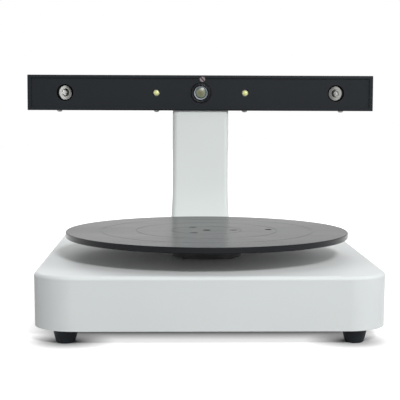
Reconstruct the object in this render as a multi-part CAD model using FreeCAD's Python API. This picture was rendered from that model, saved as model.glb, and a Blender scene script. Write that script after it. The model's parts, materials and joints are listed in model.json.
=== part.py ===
import FreeCAD, Part

import math
import os

from FreeCAD import Vector

# Desktop 3d scanner, millimetres, +Z up. The feet stand on z = 0, the front faces -Y,
# and the origin is under the middle of the base.

# Base housing
BASE_WIDTH = 228.0
BASE_DEPTH = 300.0
BASE_HEIGHT = 35.0
BASE_CORNER_R = 27.0
BASE_EDGE_R = 4.0
BASE_DRAFT = 0.5
BASE_WALL = 3.0
RIB_THICKNESS = 1.6
RIB_ROOT = 0.9
RIB_DEPTH = 8.0
RIB_PITCH_X = 36.0
RIB_PITCH_Y = 55.0
SIDE_BOSS_R = 4.0
SIDE_BOSS_INSET = 12.0
SIDE_BOSS_PITCH = 105.0
PLATE_THICKNESS = 3.0
PLATE_GAP = 0.4
VENT_LENGTH = 44.0
VENT_WIDTH = 3.0
VENT_PITCH = 7.0
VENT_COUNT = 6
VENT_END_R = 1.45

# Feet
FOOT_HEIGHT = 10.0
FOOT_TOP_D = 16.5
FOOT_BOTTOM_D = 12.4
FOOT_BAND = 1.0
FOOT_CHAMFER = 0.9
FOOT_RECESS_D = 7.4
FOOT_RECESS_DEPTH = 5.0
FOOT_INSET_X = 21.0
FOOT_INSET_Y = 17.0
FOOT_BOSS_R = 5.0
FOOT_BOSS_HEIGHT = 5.0
FOOT_SCREW_END = 1.0

# Turntable
TABLE_D = 200.0
TABLE_THICKNESS = 4.0
TABLE_EDGE = 0.5
TABLE_SETBACK = 100.0
TABLE_GAP = 14.2
RING_PITCH_R = 25.0
RING_COUNT = 3
GROOVE_WIDTH = 0.6
GROOVE_DEPTH = 0.25
CENTRE_HOLE_D = 5.6
PEG_HOLE_D = 5.0
PEG_HOLE_X = 44.3
PEG_HOLE_Y = 4.0
HUB_D = 49.0
HUB_GAP = 0.6
HUB_EDGE = 0.5
HUB_LID = 1.6
HUB_RELIEF = 0.9
HUB_SCREW_R = 19.3
HUB_SCREW_COUNT = 3
HUB_SCREW_LENGTH = 9.0
HUB_CORE_R = 8.0
HUB_CORE_LIFT = 4.0
GRUB_LENGTH = 8.0

# Thrust bearing between the hub and the housing
RACE_ID = 20.0
RACE_OD = 35.0
RACE_THICKNESS = 2.75
RACE_SEAT_DEPTH = 2.0
ROLLER_R = 2.2
ROLLER_LENGTH = 4.0
ROLLER_COUNT = 10
ROLLER_GAP = 0.05
CAGE_THICKNESS = 1.6
CAGE_RIM = 1.2
SEAT_GAP = 0.05
SHAFT_HOLE_R = 5.0

# Stepper motor
MOTOR_SIZE = 42.3
MOTOR_HEIGHT = 25.0
MOTOR_BELL = 8.0
MOTOR_CORNER = 3.6
STATOR_CORNER = 5.0
MOTOR_END_WALL = 1.0
MOTOR_PILOT_R = 11.0
MOTOR_PILOT_HEIGHT = 2.0
MOTOR_SCREW_SPACING = 31.0
MOTOR_PAD = 48.0
MOTOR_PAD_DEPTH = 3.0
MOTOR_BEARING_R = 8.0
MOTOR_BEARING_WIDTH = 5.0
ROTOR_R = 11.0
ROTOR_GAP = 0.3
MOTOR_CAVITY_GAP = 1.0
MOTOR_THREAD = 5.0
MOTOR_SCREW_BITE = 4.0
SHAFT_R = 2.5
SHAFT_FLAT = 2.0
SHAFT_RUNNING_GAP = 0.03

# Column
COLUMN_WIDTH = 47.4
COLUMN_DEPTH = 24.0
COLUMN_HEIGHT = 102.2
COLUMN_CORNER_R = 4.0
COLUMN_WALL = 2.5
COLUMN_FLARE = 2.0
COLUMN_FLARE_HEIGHT = 45.0
COLUMN_INSET = 20.0
COLUMN_BOSS_R = 3.2
COLUMN_BOSS_SINK = 0.4
COLUMN_BOSS_HEIGHT = 12.0
COLUMN_HOLE_END = 2.0

# Sensor bar
HEAD_WIDTH = 294.0
HEAD_HEIGHT = 30.0
HEAD_DEPTH = 30.0
HEAD_WALL = 1.6
HEAD_CORNER_R = 1.2
HEAD_LIP = 2.5
HEAD_LIP_THICKNESS = 1.2
CAP_THICKNESS = 3.0
PANEL_THICKNESS = 1.5
PANEL_GAP = 0.12
PANEL_RIB = 5.5
PANEL_RIB_THICKNESS = 1.8
CAP_BOSS_R = 2.0
CAP_SCREW_INSET = 3.0
PANEL_SCREW_X = 1.3
PANEL_SCREW_DROP = 3.4
PANEL_SCREW_HEAD_R = 2.3
PANEL_SLOT_DEPTH = 0.6
PANEL_SLOT_ANGLE = 40.0

# Camera
LENS_HEAD_R = 8.3
LENS_HEAD_LENGTH = 5.0
LENS_PROUD = 0.4
LENS_HEAD_CHAMFER = 0.4
LENS_BEVEL = 0.9
LENS_THREAD_R = 6.0
LENS_BACK_GAP = 1.4
LENS_GLASS_R = 5.7
LENS_GLASS_RECESS = 1.4
LENS_GLASS_THICKNESS = 2.0
LENS_GLASS_BULGE = 1.4
LENS_GLASS_RIM = 0.3
LENS_HOLE_GAP = 0.5
LENS_HOLDER_SIZE = 15.0
LENS_HOLDER_DEPTH = 6.5
LENS_HOLDER_CHAMFER = 1.5
LENS_HOLDER_BACK = 1.2
SENSOR_SIZE = 7.0
SENSOR_THICKNESS = 0.5
CAMERA_BOARD_WIDTH = 32.0
CAMERA_BOARD_HEIGHT = 19.0
CAMERA_HOLE_X = 10.0
CAMERA_HOLE_Z = 6.8
CAMERA_SPACER = 2.0
BRACKET_THICKNESS = 1.5
BRACKET_MARGIN = 0.8
BRACKET_FRONT_GAP = 0.3
BRACKET_TAB_WIDTH = 24.0
BRACKET_TAB_TOP = 2.0

# Lights
LASER_INSET = 32.0
LASER_R = 6.0
LASER_LENGTH = 20.0
LASER_SETBACK = 2.0
LASER_LENS_R = 3.4
LASER_LENS_LENGTH = 2.5
LASER_LENS_RECESS = 1.3
LASER_BORE_R = 2.6
LASER_BACK_WALL = 4.0
LASER_HOLE_GAP = 1.0
LASER_HOLE_SHIFT = 0.4
CLAMP_SIDE = 1.0
CLAMP_LENGTH = 7.0
CLAMP_TOP = 1.8
CLAMP_BACK = 10.6
LED_X = 37.8
LED_R = 2.6
LED_FLANGE_R = 3.0
LED_FLANGE = 1.0
LED_DOME = 1.2
LED_BACK = 6.0
LED_PROUD = 0.2
LED_HOLE_GAP = 0.2
LED_HOLDER_SIDE = 1.5
LED_HOLDER_BACK = 0.4
LED_HOLDER_DEPTH = 8.0
LED_HOLDER_TOP = 2.0

# Main board and rear sockets
BAY_WIDTH = 84.0
BAY_HEIGHT = 22.0
BAY_DEPTH = 6.0
BAY_INSET = 62.0
BAY_BOTTOM = 6.0
BAY_FLOOR = 2.8
BOARD_THICKNESS = 1.6
BOARD_WIDTH = 80.0
BOARD_DEPTH = 60.0
BOARD_LIFT = 6.0
BOARD_SHIFT = -26.0
BOARD_BACK_GAP = 1.5
BOARD_BOSS_R = 3.0
BOARD_HOLE_INSET = 4.0
HEADER_SIZE = 7.0
HEADER_HEIGHT = 5.0
DRIVER_WIDTH = 20.0
DRIVER_DEPTH = 16.0
DRIVER_HEIGHT = 3.0
PROCESSOR_SIZE = 12.0
PROCESSOR_HEIGHT = 1.4
PROCESSOR_X = 14.0
PROCESSOR_Y = 4.0
USB_SHIFT = -24.0
USB_WIDTH = 12.0
USB_HEIGHT = 10.8
USB_LENGTH = 16.0
USB_MOUTH_WIDTH = 8.5
USB_MOUTH_HEIGHT = 7.8
USB_MOUTH_DEPTH = 9.5
USB_MOUTH_CHAMFER = 1.7
USB_TONGUE_WIDTH = 5.6
USB_TONGUE_HEIGHT = 3.2
USB_TONGUE_BACK = 1.2
JACK_SHIFT = -3.0
JACK_WIDTH = 9.0
JACK_HEIGHT = 11.0
JACK_LENGTH = 14.0
JACK_MOUTH_R = 3.2
JACK_MOUTH_DEPTH = 9.5
JACK_PIN_R = 1.05
JACK_PIN_BACK = 1.2
SOCKET_GAP = 0.3
SOCKET_PROUD = 0.5
CABLE_D = 3.0
CABLE_GAP = 0.6
CABLE_BEND_R = 4.0
CABLE_SLOT = 12.0

# Rocker switch
SWITCH_SHIFT = 26.0
SWITCH_WIDTH = 21.0
SWITCH_HEIGHT = 15.0
SWITCH_FLANGE = 2.0
SWITCH_BODY_WIDTH = 19.0
SWITCH_BODY_HEIGHT = 12.8
SWITCH_BODY_DEPTH = 12.0
SWITCH_CORNER_R = 1.0
SWITCH_RIM = 1.2
SWITCH_POCKET_DEPTH = 9.0
ROCKER_R = 8.3
ROCKER_GAP = 0.4
ROCKER_PIVOT_DEPTH = 3.0
ROCKER_BOTTOM = 5.5
ROCKER_CROWN = 0.6
ROCKER_HORN = 2.2
ROCKER_TILT = 10.0
ROCKER_PIN_R = 1.2
ROCKER_PIN_GAP = 0.05
ROCKER_PIN_LENGTH = 0.6
ROCKER_PIN_END_GAP = 0.1
TERMINAL_WIDTH = 6.3
TERMINAL_THICKNESS = 0.8
TERMINAL_LENGTH = 7.0
TERMINAL_PITCH = 7.0

# Screws: shank radius, head radius, head height
M3_R = 1.5
M3_HEAD_R = 2.75
M3_HEAD = 2.0
M3_COUNTERSUNK_R = 2.9
M4_R = 2.0
M4_HEAD_R = 3.4
M4_HEAD = 2.4
M2_R = 1.0
M2_HEAD_R = 1.9
M2_HEAD = 1.3
BUTTON_R = 2.35
BUTTON_HEAD = 1.3
BUTTON_TOP_R = 1.4
BUTTON_BAND = 0.45
CLEARANCE = 0.2
THREAD_LENGTH = 6.0
SLOT_WIDTH = 0.8
FLUSH = 0.1
HEAD_GAP = 1.0
SINK = 0.5
PAST = 1.0

# Levels and places worked out from the sizes above
Z_BASE = FOOT_HEIGHT
Z_TOP = Z_BASE + BASE_HEIGHT
Z_CEILING = Z_TOP - BASE_WALL
Z_ROOT = Z_CEILING + RIB_ROOT
Z_PLATE = Z_BASE + PLATE_THICKNESS
Z_TABLE_UNDER = Z_TOP + TABLE_GAP
Z_TABLE = Z_TABLE_UNDER + TABLE_THICKNESS
Z_HEAD = Z_TOP + COLUMN_HEIGHT
Z_AXIS = Z_HEAD + HEAD_HEIGHT / 2
Z_FLOOR = Z_HEAD + HEAD_WALL
Y_FRONT = -BASE_DEPTH / 2
Y_BACK = BASE_DEPTH / 2
Y_TABLE = Y_FRONT + TABLE_SETBACK
Y_COLUMN = Y_BACK - COLUMN_INSET
Y_HEAD = Y_COLUMN - HEAD_DEPTH / 2
Y_HEAD_BACK = Y_HEAD + HEAD_DEPTH
Y_PANEL = Y_HEAD + HEAD_LIP_THICKNESS + PANEL_GAP / 2
Y_PANEL_BACK = Y_PANEL + PANEL_THICKNESS
Y_RIB = Y_PANEL_BACK + PANEL_GAP / 2
Y_INSIDE_HEAD = Y_RIB + PANEL_RIB_THICKNESS
Y_BAY = Y_BACK - BAY_DEPTH
X_CAP = HEAD_WIDTH / 2 - CAP_THICKNESS
LASER_X = HEAD_WIDTH / 2 - LASER_INSET
BAY_X = BASE_WIDTH / 2 - BAY_INSET
USB_X = BAY_X + USB_SHIFT
JACK_X = BAY_X + JACK_SHIFT
SWITCH_X = BAY_X + SWITCH_SHIFT
BOARD_X = BAY_X + BOARD_SHIFT
ORIGIN = Vector(0, 0, 0)
UP = Vector(0, 0, 1)
DOWN = Vector(0, 0, -1)
BACK = Vector(0, 1, 0)
FORWARD = Vector(0, -1, 0)
RIGHT = Vector(1, 0, 0)
LEFT = Vector(-1, 0, 0)


def box(x0, x1, y0, y1, z0, z1):
    return Part.makeBox(x1 - x0, y1 - y0, z1 - z0, Vector(x0, y0, z0))


def centred_box(width, depth, z0, z1, x=0.0, y=0.0):
    return box(x - width / 2, x + width / 2, y - depth / 2, y + depth / 2, z0, z1)


def post(radius, z0, z1, x=0.0, y=0.0):
    return Part.makeCylinder(radius, z1 - z0, Vector(x, y, z0), UP)


def rod(radius, y0, y1, x, z):
    return Part.makeCylinder(radius, y1 - y0, Vector(x, y0, z), BACK)


def fuse(shapes):
    joined = shapes[0].multiFuse(shapes[1:]) if len(shapes) > 1 else shapes[0]
    return joined.removeSplitter()


def rounded_outline(width, depth, radius, z, x=0.0, y=0.0):
    """A closed wire: a rectangle with round corners, always begun at the same corner."""
    u = width / 2 - radius
    v = depth / 2 - radius
    diagonal = radius * math.sqrt(0.5)
    edges = []
    turns = [(1, -1), (1, 1), (-1, 1), (-1, -1)]
    for index, (i, j) in enumerate(turns):
        k, m = turns[(index + 1) % 4]
        centre = Vector(x + i * u, y + j * v, z)
        after = Vector(x + k * u, y + m * v, z)
        along_x = Vector(i * radius, 0, 0)
        along_y = Vector(0, j * radius, 0)
        first, last = (along_y, along_x) if i * j < 0 else (along_x, along_y)
        middle = Vector(i * diagonal, j * diagonal, 0)
        edges.append(Part.Arc(centre + first, centre + middle, centre + last).toShape())
        edges.append(Part.LineSegment(centre + last, after + last).toShape())
    return Part.Wire(edges)


def rounded_block(width, depth, radius, z0, z1, x=0.0, y=0.0):
    wire = rounded_outline(width, depth, radius, z0, x, y)
    return Part.Face(wire).extrude(Vector(0, 0, z1 - z0))


def revolved(points, x=0.0, y=0.0):
    """Turns a closed outline of (radius, z) points about a vertical axis."""
    corners = [Vector(x + r, y, z) for r, z in points]
    face = Part.Face(Part.makePolygon(corners + corners[:1]))
    return face.revolve(Vector(x, y, 0), UP, 360)


def placed(shape, x, y, z, axis=UP):
    """Moves a shape made about the z axis so that its axis points along the given one."""
    copy = shape.copy()
    turn = FreeCAD.Rotation(UP, axis)
    copy.Placement = FreeCAD.Placement(Vector(x, y, z), turn)
    return copy


def flat_screw(shank_r, head_r, head, length):
    """A screw along -z whose head sits on z = 0."""
    outline = [(0, head), (head_r, head), (head_r, 0), (shank_r, 0), (shank_r, -length), (0, -length)]
    return revolved(outline)


def countersunk_screw(shank_r, head_r, length):
    """A screw along -z whose flat head ends at z = 0."""
    outline = [(0, 0), (head_r, 0), (shank_r, shank_r - head_r), (shank_r, -length), (0, -length)]
    return revolved(outline)


def countersink(shank_r, head_r, depth, margin):
    """The hole for a countersunk screw, from above z = 0 down through depth."""
    wide = head_r + margin
    narrow = shank_r + margin
    outline = [(0, PAST), (wide, PAST), (wide, 0), (narrow, narrow - wide), (narrow, -depth), (0, -depth)]
    return revolved(outline)


def mirrored_places(x, y):
    return [(i * x, j * y) for j in (-1, 1) for i in (-1, 1)]


def arc(first, middle, last):
    return Part.Arc(first, middle, last).toShape()


def line(first, last):
    return Part.LineSegment(first, last).toShape()


def lines(points):
    return [line(a, b) for a, b in zip(points, points[1:])]


def edges_along(shape, direction):
    return [e for e in shape.Edges if abs(e.tangentAt(e.FirstParameter).dot(direction)) > 0.99]


def same_sides(width, depth, profile, radius, x=0.0, y=0.0):
    """A block with round corners and one profile on all its sides.

    The profile is the edges of a side from the bottom up, at y = 0, where x is the distance
    from a corner's upright axis. The corners are quarter turns of it, the sides straight runs."""
    u = width / 2 - radius
    v = depth / 2 - radius
    low = profile[0].Vertexes[0].Point
    high = profile[-1].Vertexes[-1].Point
    back = lines([high, Vector(0, 0, high.z), Vector(0, 0, low.z), low])
    face = Part.Face(Part.Wire(profile + back))
    quarter = face.revolve(ORIGIN, UP, 90)
    pieces = [centred_box(2 * u, 2 * v, low.z, high.z)]
    for turn, (i, j) in enumerate([(1, 1), (-1, 1), (-1, -1), (1, -1)]):
        corner = quarter.rotated(ORIGIN, UP, 90 * turn)
        pieces.append(corner.translated(Vector(i * u, j * v, 0)))
    for half, length, angle in ((u, 2 * v, 0), (v, 2 * u, 90), (u, 2 * v, 180), (v, 2 * u, 270)):
        side = face.translated(Vector(half, -length / 2, 0)).extrude(Vector(0, length, 0))
        pieces.append(side.rotated(ORIGIN, UP, angle))
    block = fuse(pieces)
    block.translate(Vector(x, y, 0))
    return block


def base_lean(z):
    """How far the draft has drawn the sides in at a height, next to their top."""
    return BASE_DRAFT * (Z_TOP - BASE_EDGE_R - z) / BASE_HEIGHT


def base_outline(inset, z):
    offset = inset + base_lean(z)
    return rounded_outline(BASE_WIDTH - 2 * offset, BASE_DEPTH - 2 * offset, BASE_CORNER_R - offset, z)


def base_body(inset, z0, z1):
    """The housing's outer form drawn in by a wall; its top edge is round where z1 reaches that."""
    reach = BASE_CORNER_R - inset
    start = Vector(reach - base_lean(z0), 0, z0)
    if z1 <= Z_TOP - BASE_EDGE_R:
        profile = [line(start, Vector(reach - base_lean(z1), 0, z1))]
    else:
        edge_r = BASE_EDGE_R - inset
        corner = Vector(reach, 0, z1 - edge_r)
        diagonal = edge_r * (1 - math.sqrt(0.5))
        middle = Vector(reach - diagonal, 0, z1 - diagonal)
        profile = [line(start, corner), arc(corner, middle, Vector(reach - edge_r, 0, z1))]
    return same_sides(BASE_WIDTH - 2 * inset, BASE_DEPTH - 2 * inset, profile, reach)


def side_bosses():
    x = BASE_WIDTH / 2 - SIDE_BOSS_INSET
    return [(i * x, j * SIDE_BOSS_PITCH) for j in (-1, 0, 1) for i in (-1, 1)]


def foot_places():
    return mirrored_places(BASE_WIDTH / 2 - FOOT_INSET_X, BASE_DEPTH / 2 - FOOT_INSET_Y)


def column_boss_places():
    inset = COLUMN_WALL + COLUMN_BOSS_R - COLUMN_BOSS_SINK
    x = COLUMN_WIDTH / 2 - inset
    y = COLUMN_DEPTH / 2 - inset
    return [(i, Y_COLUMN + j) for i, j in mirrored_places(x, y)]


def motor_screw_places():
    half = MOTOR_SCREW_SPACING / 2
    return [(i, Y_TABLE + j) for i, j in mirrored_places(half, half)]


def board_screw_places():
    x = BOARD_WIDTH / 2 - BOARD_HOLE_INSET
    y = BOARD_DEPTH / 2 - BOARD_HOLE_INSET
    return [(BOARD_X + i, board_y() + j) for i, j in mirrored_places(x, y)]


def board_y():
    return Y_BAY - BASE_WALL - BOARD_BACK_GAP - BOARD_DEPTH / 2


def board_top():
    return Z_PLATE + BOARD_LIFT + BOARD_THICKNESS


def cable_y():
    return Y_COLUMN + COLUMN_DEPTH / 2 - COLUMN_WALL - CABLE_D / 2 - CABLE_GAP


def seat_floor():
    return Z_TOP - RACE_SEAT_DEPTH


def motor_top():
    return Z_CEILING - MOTOR_PAD_DEPTH


def ceiling_ribs():
    """A grid that hangs from the ceiling, dies into the side walls and leaves the motor's pad free."""
    half = RIB_THICKNESS / 2
    low = Z_CEILING - RIB_DEPTH
    bars = []
    for x in (-2 * RIB_PITCH_X, -RIB_PITCH_X, RIB_PITCH_X, 2 * RIB_PITCH_X):
        bars.append(box(x - half, x + half, Y_FRONT, Y_BACK, low, Z_ROOT))
    for step in (-1, 1, 2):
        y = Y_TABLE + step * RIB_PITCH_Y
        bars.append(box(-BASE_WIDTH / 2, BASE_WIDTH / 2, y - half, y + half, low, Z_ROOT))
    zone = base_body(RIB_ROOT, low, Z_TOP - RIB_ROOT)
    pad_zone = centred_box(MOTOR_PAD, MOTOR_PAD, low - PAST, Z_ROOT + PAST, 0, Y_TABLE)
    return fuse(bars).common(zone).cut(pad_zone)


def motor_pad():
    """The boss that the motor hangs from, with a spoke to the nearest rib on each side."""
    half = RIB_THICKNESS / 2
    shapes = [rounded_block(MOTOR_PAD, MOTOR_PAD, MOTOR_CORNER, motor_top(), Z_ROOT, 0, Y_TABLE)]
    for side in (-1, 1):
        start, end = sorted((side * (MOTOR_PAD / 2 - SINK), side * (RIB_PITCH_X + half)))
        shapes.append(box(start, end, Y_TABLE - half, Y_TABLE + half, motor_top(), Z_ROOT))
    return shapes


def side_posts():
    """Posts for the bottom plate's screws, each with a rib out to the side wall."""
    half = RIB_THICKNESS / 2
    shapes = []
    for x, y in side_bosses():
        shapes.append(post(SIDE_BOSS_R, Z_PLATE, Z_ROOT, x, y))
        start, end = sorted((x, math.copysign(BASE_WIDTH / 2 - BASE_DRAFT - RIB_ROOT, x)))
        shapes.append(box(start, end, y - half, y + half, Z_PLATE + PLATE_THICKNESS, Z_ROOT))
    return shapes


def bay_walls():
    """Walls round the recess at the back that holds the sockets and the switch."""
    depth = BAY_DEPTH + BASE_WALL
    block = centred_box(BAY_WIDTH + 2 * BASE_WALL, depth, Z_BASE + BAY_BOTTOM - BAY_FLOOR, Z_ROOT,
                        BAY_X, Y_BACK - depth / 2)
    return block.common(base_body(RIB_ROOT, Z_BASE, Z_TOP - RIB_ROOT))


def base_shell():
    outer = base_body(0, Z_BASE, Z_TOP)
    inner = base_body(BASE_WALL, Z_BASE, Z_CEILING)
    shell = fuse([outer.cut(inner), ceiling_ribs(), bay_walls()] + motor_pad() + side_posts())
    bay_low = Z_BASE + BAY_BOTTOM
    pilot_top = motor_top() + MOTOR_PILOT_HEIGHT + FLUSH
    cuts = [centred_box(BAY_WIDTH, 2 * BAY_DEPTH, bay_low, bay_low + BAY_HEIGHT, BAY_X, Y_BACK),
            post(RACE_OD / 2 + SEAT_GAP, seat_floor(), Z_TOP + PAST, 0, Y_TABLE),
            post(MOTOR_PILOT_R + SEAT_GAP, motor_top() - PAST, pilot_top, 0, Y_TABLE),
            post(SHAFT_HOLE_R, motor_top(), Z_TOP, 0, Y_TABLE),
            centred_box(CABLE_SLOT, 2 * CABLE_D, Z_CEILING - PAST, Z_TOP + PAST, 0, cable_y())]
    for x, y in motor_screw_places():
        hole = countersink(M3_R, M3_COUNTERSUNK_R, Z_TOP - motor_top() + PAST, CLEARANCE)
        cuts.append(placed(hole, x, y, Z_TOP))
    for x, y in side_bosses():
        cuts.append(post(M3_R, Z_PLATE - PAST, Z_PLATE + THREAD_LENGTH + HEAD_GAP, x, y))
    for x, y in column_boss_places():
        cuts.append(post(M3_R + CLEARANCE, Z_CEILING - PAST, Z_TOP + PAST, x, y))
    cuts += [socket_cut(usb_centre_z(), USB_X, USB_WIDTH, USB_HEIGHT),
             socket_cut(jack_centre_z(), JACK_X, JACK_WIDTH, JACK_HEIGHT),
             socket_cut(switch_z(), SWITCH_X, SWITCH_BODY_WIDTH, SWITCH_BODY_HEIGHT)]
    return shell.cut(cuts)


def usb_centre_z():
    return board_top() + USB_HEIGHT / 2


def jack_centre_z():
    return board_top() + JACK_HEIGHT / 2


def switch_z():
    return Z_BASE + BAY_BOTTOM + BAY_HEIGHT / 2


def socket_cut(z, x, width, height):
    half_x = width / 2 + SOCKET_GAP
    half_z = height / 2 + SOCKET_GAP
    return box(x - half_x, x + half_x, Y_BAY - BASE_WALL - PAST, Y_BAY + PAST, z - half_z, z + half_z)


def bottom_plate():
    outline = base_outline(BASE_WALL + PLATE_GAP, Z_BASE)
    plate = Part.Face(outline).extrude(Vector(0, 0, PLATE_THICKNESS))
    raised = [post(FOOT_BOSS_R, Z_BASE, Z_PLATE + FOOT_BOSS_HEIGHT, x, y) for x, y in foot_places()]
    raised += [post(BOARD_BOSS_R, Z_BASE, Z_PLATE + BOARD_LIFT, x, y) for x, y in board_screw_places()]
    plate = fuse([plate] + raised)
    cuts = []
    for x, y in side_bosses():
        hole = countersink(M3_R, M3_COUNTERSUNK_R, PLATE_THICKNESS + PAST, CLEARANCE)
        cuts.append(placed(hole, x, y, Z_BASE, DOWN))
    for x, y in foot_places():
        cuts.append(post(M4_R, Z_BASE - PAST, Z_PLATE + FOOT_BOSS_HEIGHT + PAST, x, y))
    for x, y in board_screw_places():
        cuts.append(post(M3_R, Z_PLATE + FLUSH, Z_PLATE + BOARD_LIFT + PAST, x, y))
    for index in range(VENT_COUNT):
        y = board_y() + (index - (VENT_COUNT - 1) / 2) * VENT_PITCH
        cuts.append(rounded_block(VENT_LENGTH, VENT_WIDTH, VENT_END_R, Z_BASE - PAST, Z_PLATE + PAST,
                                  BOARD_X, y))
    return plate.cut(cuts)


def bottom_plate_screws():
    screw = countersunk_screw(M3_R, M3_COUNTERSUNK_R, PLATE_THICKNESS + THREAD_LENGTH)
    return [placed(screw, x, y, Z_BASE + FLUSH, DOWN) for x, y in side_bosses()]


def foot(x, y):
    top_r = FOOT_TOP_D / 2
    low_r = FOOT_BOTTOM_D / 2
    recess_r = FOOT_RECESS_D / 2
    screw_r = M4_R + CLEARANCE
    outline = [(screw_r, FOOT_HEIGHT), (top_r, FOOT_HEIGHT), (top_r, FOOT_HEIGHT - FOOT_BAND),
               (low_r, FOOT_CHAMFER), (low_r - FOOT_CHAMFER, 0), (recess_r, 0),
               (recess_r, FOOT_RECESS_DEPTH), (screw_r, FOOT_RECESS_DEPTH)]
    return revolved(outline, x, y)


def foot_screws():
    length = FOOT_HEIGHT - FOOT_RECESS_DEPTH + PLATE_THICKNESS + FOOT_BOSS_HEIGHT - FOOT_SCREW_END
    screw = flat_screw(M4_R, M4_HEAD_R, M4_HEAD, length)
    return [placed(screw, x, y, FOOT_RECESS_DEPTH, DOWN) for x, y in foot_places()]


def turntable_disc():
    r = TABLE_D / 2
    low, high, edge = Z_TABLE_UNDER, Z_TABLE, TABLE_EDGE
    hole_r = CENTRE_HOLE_D / 2
    outline = [(hole_r, low), (r - edge, low), (r, low + edge), (r, high - edge), (r - edge, high)]
    for index in range(RING_COUNT, 0, -1):
        ring = index * RING_PITCH_R
        half = GROOVE_WIDTH / 2
        outline += [(ring + half, high), (ring, high - GROOVE_DEPTH), (ring - half, high)]
    outline.append((hole_r, high))
    disc = revolved(outline, 0, Y_TABLE)
    cuts = [post(PEG_HOLE_D / 2, low - PAST, high + PAST, PEG_HOLE_X, Y_TABLE + PEG_HOLE_Y)]
    for x, y in hub_screw_places():
        hole = countersink(M3_R, M3_COUNTERSUNK_R, TABLE_THICKNESS + PAST, CLEARANCE)
        cuts.append(placed(hole, x, y, high))
    return disc.cut(cuts)


def hub_screw_places():
    places = []
    for index in range(HUB_SCREW_COUNT):
        angle = 2 * math.pi * index / HUB_SCREW_COUNT
        places.append((HUB_SCREW_R * math.cos(angle), Y_TABLE + HUB_SCREW_R * math.sin(angle)))
    return places


def hub_screws():
    screw = countersunk_screw(M3_R, M3_COUNTERSUNK_R, HUB_SCREW_LENGTH)
    return [placed(screw, x, y, Z_TABLE - FLUSH) for x, y in hub_screw_places()]


def bearing_height():
    return 2 * (RACE_THICKNESS + ROLLER_R + ROLLER_GAP)


def race_top():
    return seat_floor() + bearing_height()


def shaft_end():
    return Z_TABLE_UNDER - HUB_LID


def grub_z():
    return (race_top() + Z_TABLE_UNDER) / 2


def turntable_hub():
    low = Z_TOP + HUB_GAP
    seat_r = RACE_OD / 2 + SEAT_GAP
    wide_r = seat_r + HUB_RELIEF
    step = race_top() - RACE_THICKNESS
    core_low = seat_floor() + HUB_CORE_LIFT
    hub_r = HUB_D / 2
    outline = [(0, Z_TABLE_UNDER), (hub_r - HUB_EDGE, Z_TABLE_UNDER), (hub_r, Z_TABLE_UNDER - HUB_EDGE),
               (hub_r, low), (wide_r, low), (wide_r, step), (seat_r, step), (seat_r, race_top()),
               (HUB_CORE_R, race_top()), (HUB_CORE_R, core_low), (SHAFT_R, core_low),
               (SHAFT_R, shaft_end() + FLUSH), (0, shaft_end() + FLUSH)]
    hub = revolved(outline, 0, Y_TABLE)
    low = Z_TABLE - HUB_SCREW_LENGTH - HEAD_GAP
    cuts = [post(M3_R, low, Z_TABLE_UNDER + PAST, x, y) for x, y in hub_screw_places()]
    cuts.append(Part.makeCylinder(M3_R, HUB_D, Vector(0, Y_TABLE, grub_z()), LEFT))
    return hub.cut(cuts)


def hub_grub_screw():
    """It runs in from the hub's side, between two hub screws, and presses on the shaft's flat."""
    return Part.makeCylinder(M3_R, GRUB_LENGTH, Vector(-SHAFT_FLAT, Y_TABLE, grub_z()), LEFT)


def roller_track_r():
    return (RACE_ID + RACE_OD) / 4


def roller_z():
    return seat_floor() + bearing_height() / 2


def bearing_race(z0):
    outer = post(RACE_OD / 2, z0, z0 + RACE_THICKNESS, 0, Y_TABLE)
    return outer.cut(post(RACE_ID / 2, z0 - PAST, z0 + RACE_THICKNESS + PAST, 0, Y_TABLE))


def around_bearing(make):
    """One shape per roller, turned about the turntable's axis; the first lies along +X."""
    shapes = []
    for index in range(ROLLER_COUNT):
        shape = make()
        shape.rotate(Vector(0, Y_TABLE, 0), UP, 360 * index / ROLLER_COUNT)
        shapes.append(shape)
    return shapes


def bearing_rollers():
    start = Vector(roller_track_r() - ROLLER_LENGTH / 2, Y_TABLE, roller_z())
    return around_bearing(lambda: Part.makeCylinder(ROLLER_R, ROLLER_LENGTH, start, RIGHT))


def bearing_cage():
    low, high = roller_z() - CAGE_THICKNESS / 2, roller_z() + CAGE_THICKNESS / 2
    reach = ROLLER_LENGTH / 2 + ROLLER_GAP
    ring = post(roller_track_r() + reach + CAGE_RIM, low, high, 0, Y_TABLE)
    ring = ring.cut(post(roller_track_r() - reach - CAGE_RIM, low - PAST, high + PAST, 0, Y_TABLE))
    width = 2 * (ROLLER_R + ROLLER_GAP)

    def window():
        return centred_box(2 * reach, width, low - PAST, high + PAST, roller_track_r(), Y_TABLE)

    return ring.cut(around_bearing(window))


def motor_block(z0, z1, corner):
    block = centred_box(MOTOR_SIZE, MOTOR_SIZE, z0, z1, 0, Y_TABLE)
    return block.makeChamfer(corner, edges_along(block, UP))


def motor_levels():
    top = motor_top()
    low = top - MOTOR_HEIGHT
    return top, top - MOTOR_BELL, low + MOTOR_BELL, low


def motor_top_bell():
    top, under = motor_levels()[:2]
    seat = top - MOTOR_END_WALL - MOTOR_BEARING_WIDTH
    bell = fuse([motor_block(under, top, MOTOR_CORNER),
                 post(MOTOR_PILOT_R, top, top + MOTOR_PILOT_HEIGHT, 0, Y_TABLE)])
    cuts = [post(ROTOR_R + MOTOR_CAVITY_GAP, under - PAST, seat, 0, Y_TABLE),
            post(MOTOR_BEARING_R, seat - PAST, top - MOTOR_END_WALL, 0, Y_TABLE),
            post(SHAFT_R + MOTOR_CAVITY_GAP, seat, top + MOTOR_PILOT_HEIGHT + PAST, 0, Y_TABLE)]
    cuts += [post(M3_R, top - MOTOR_THREAD, top + PAST, x, y) for x, y in motor_screw_places()]
    return bell.cut(cuts)


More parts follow.
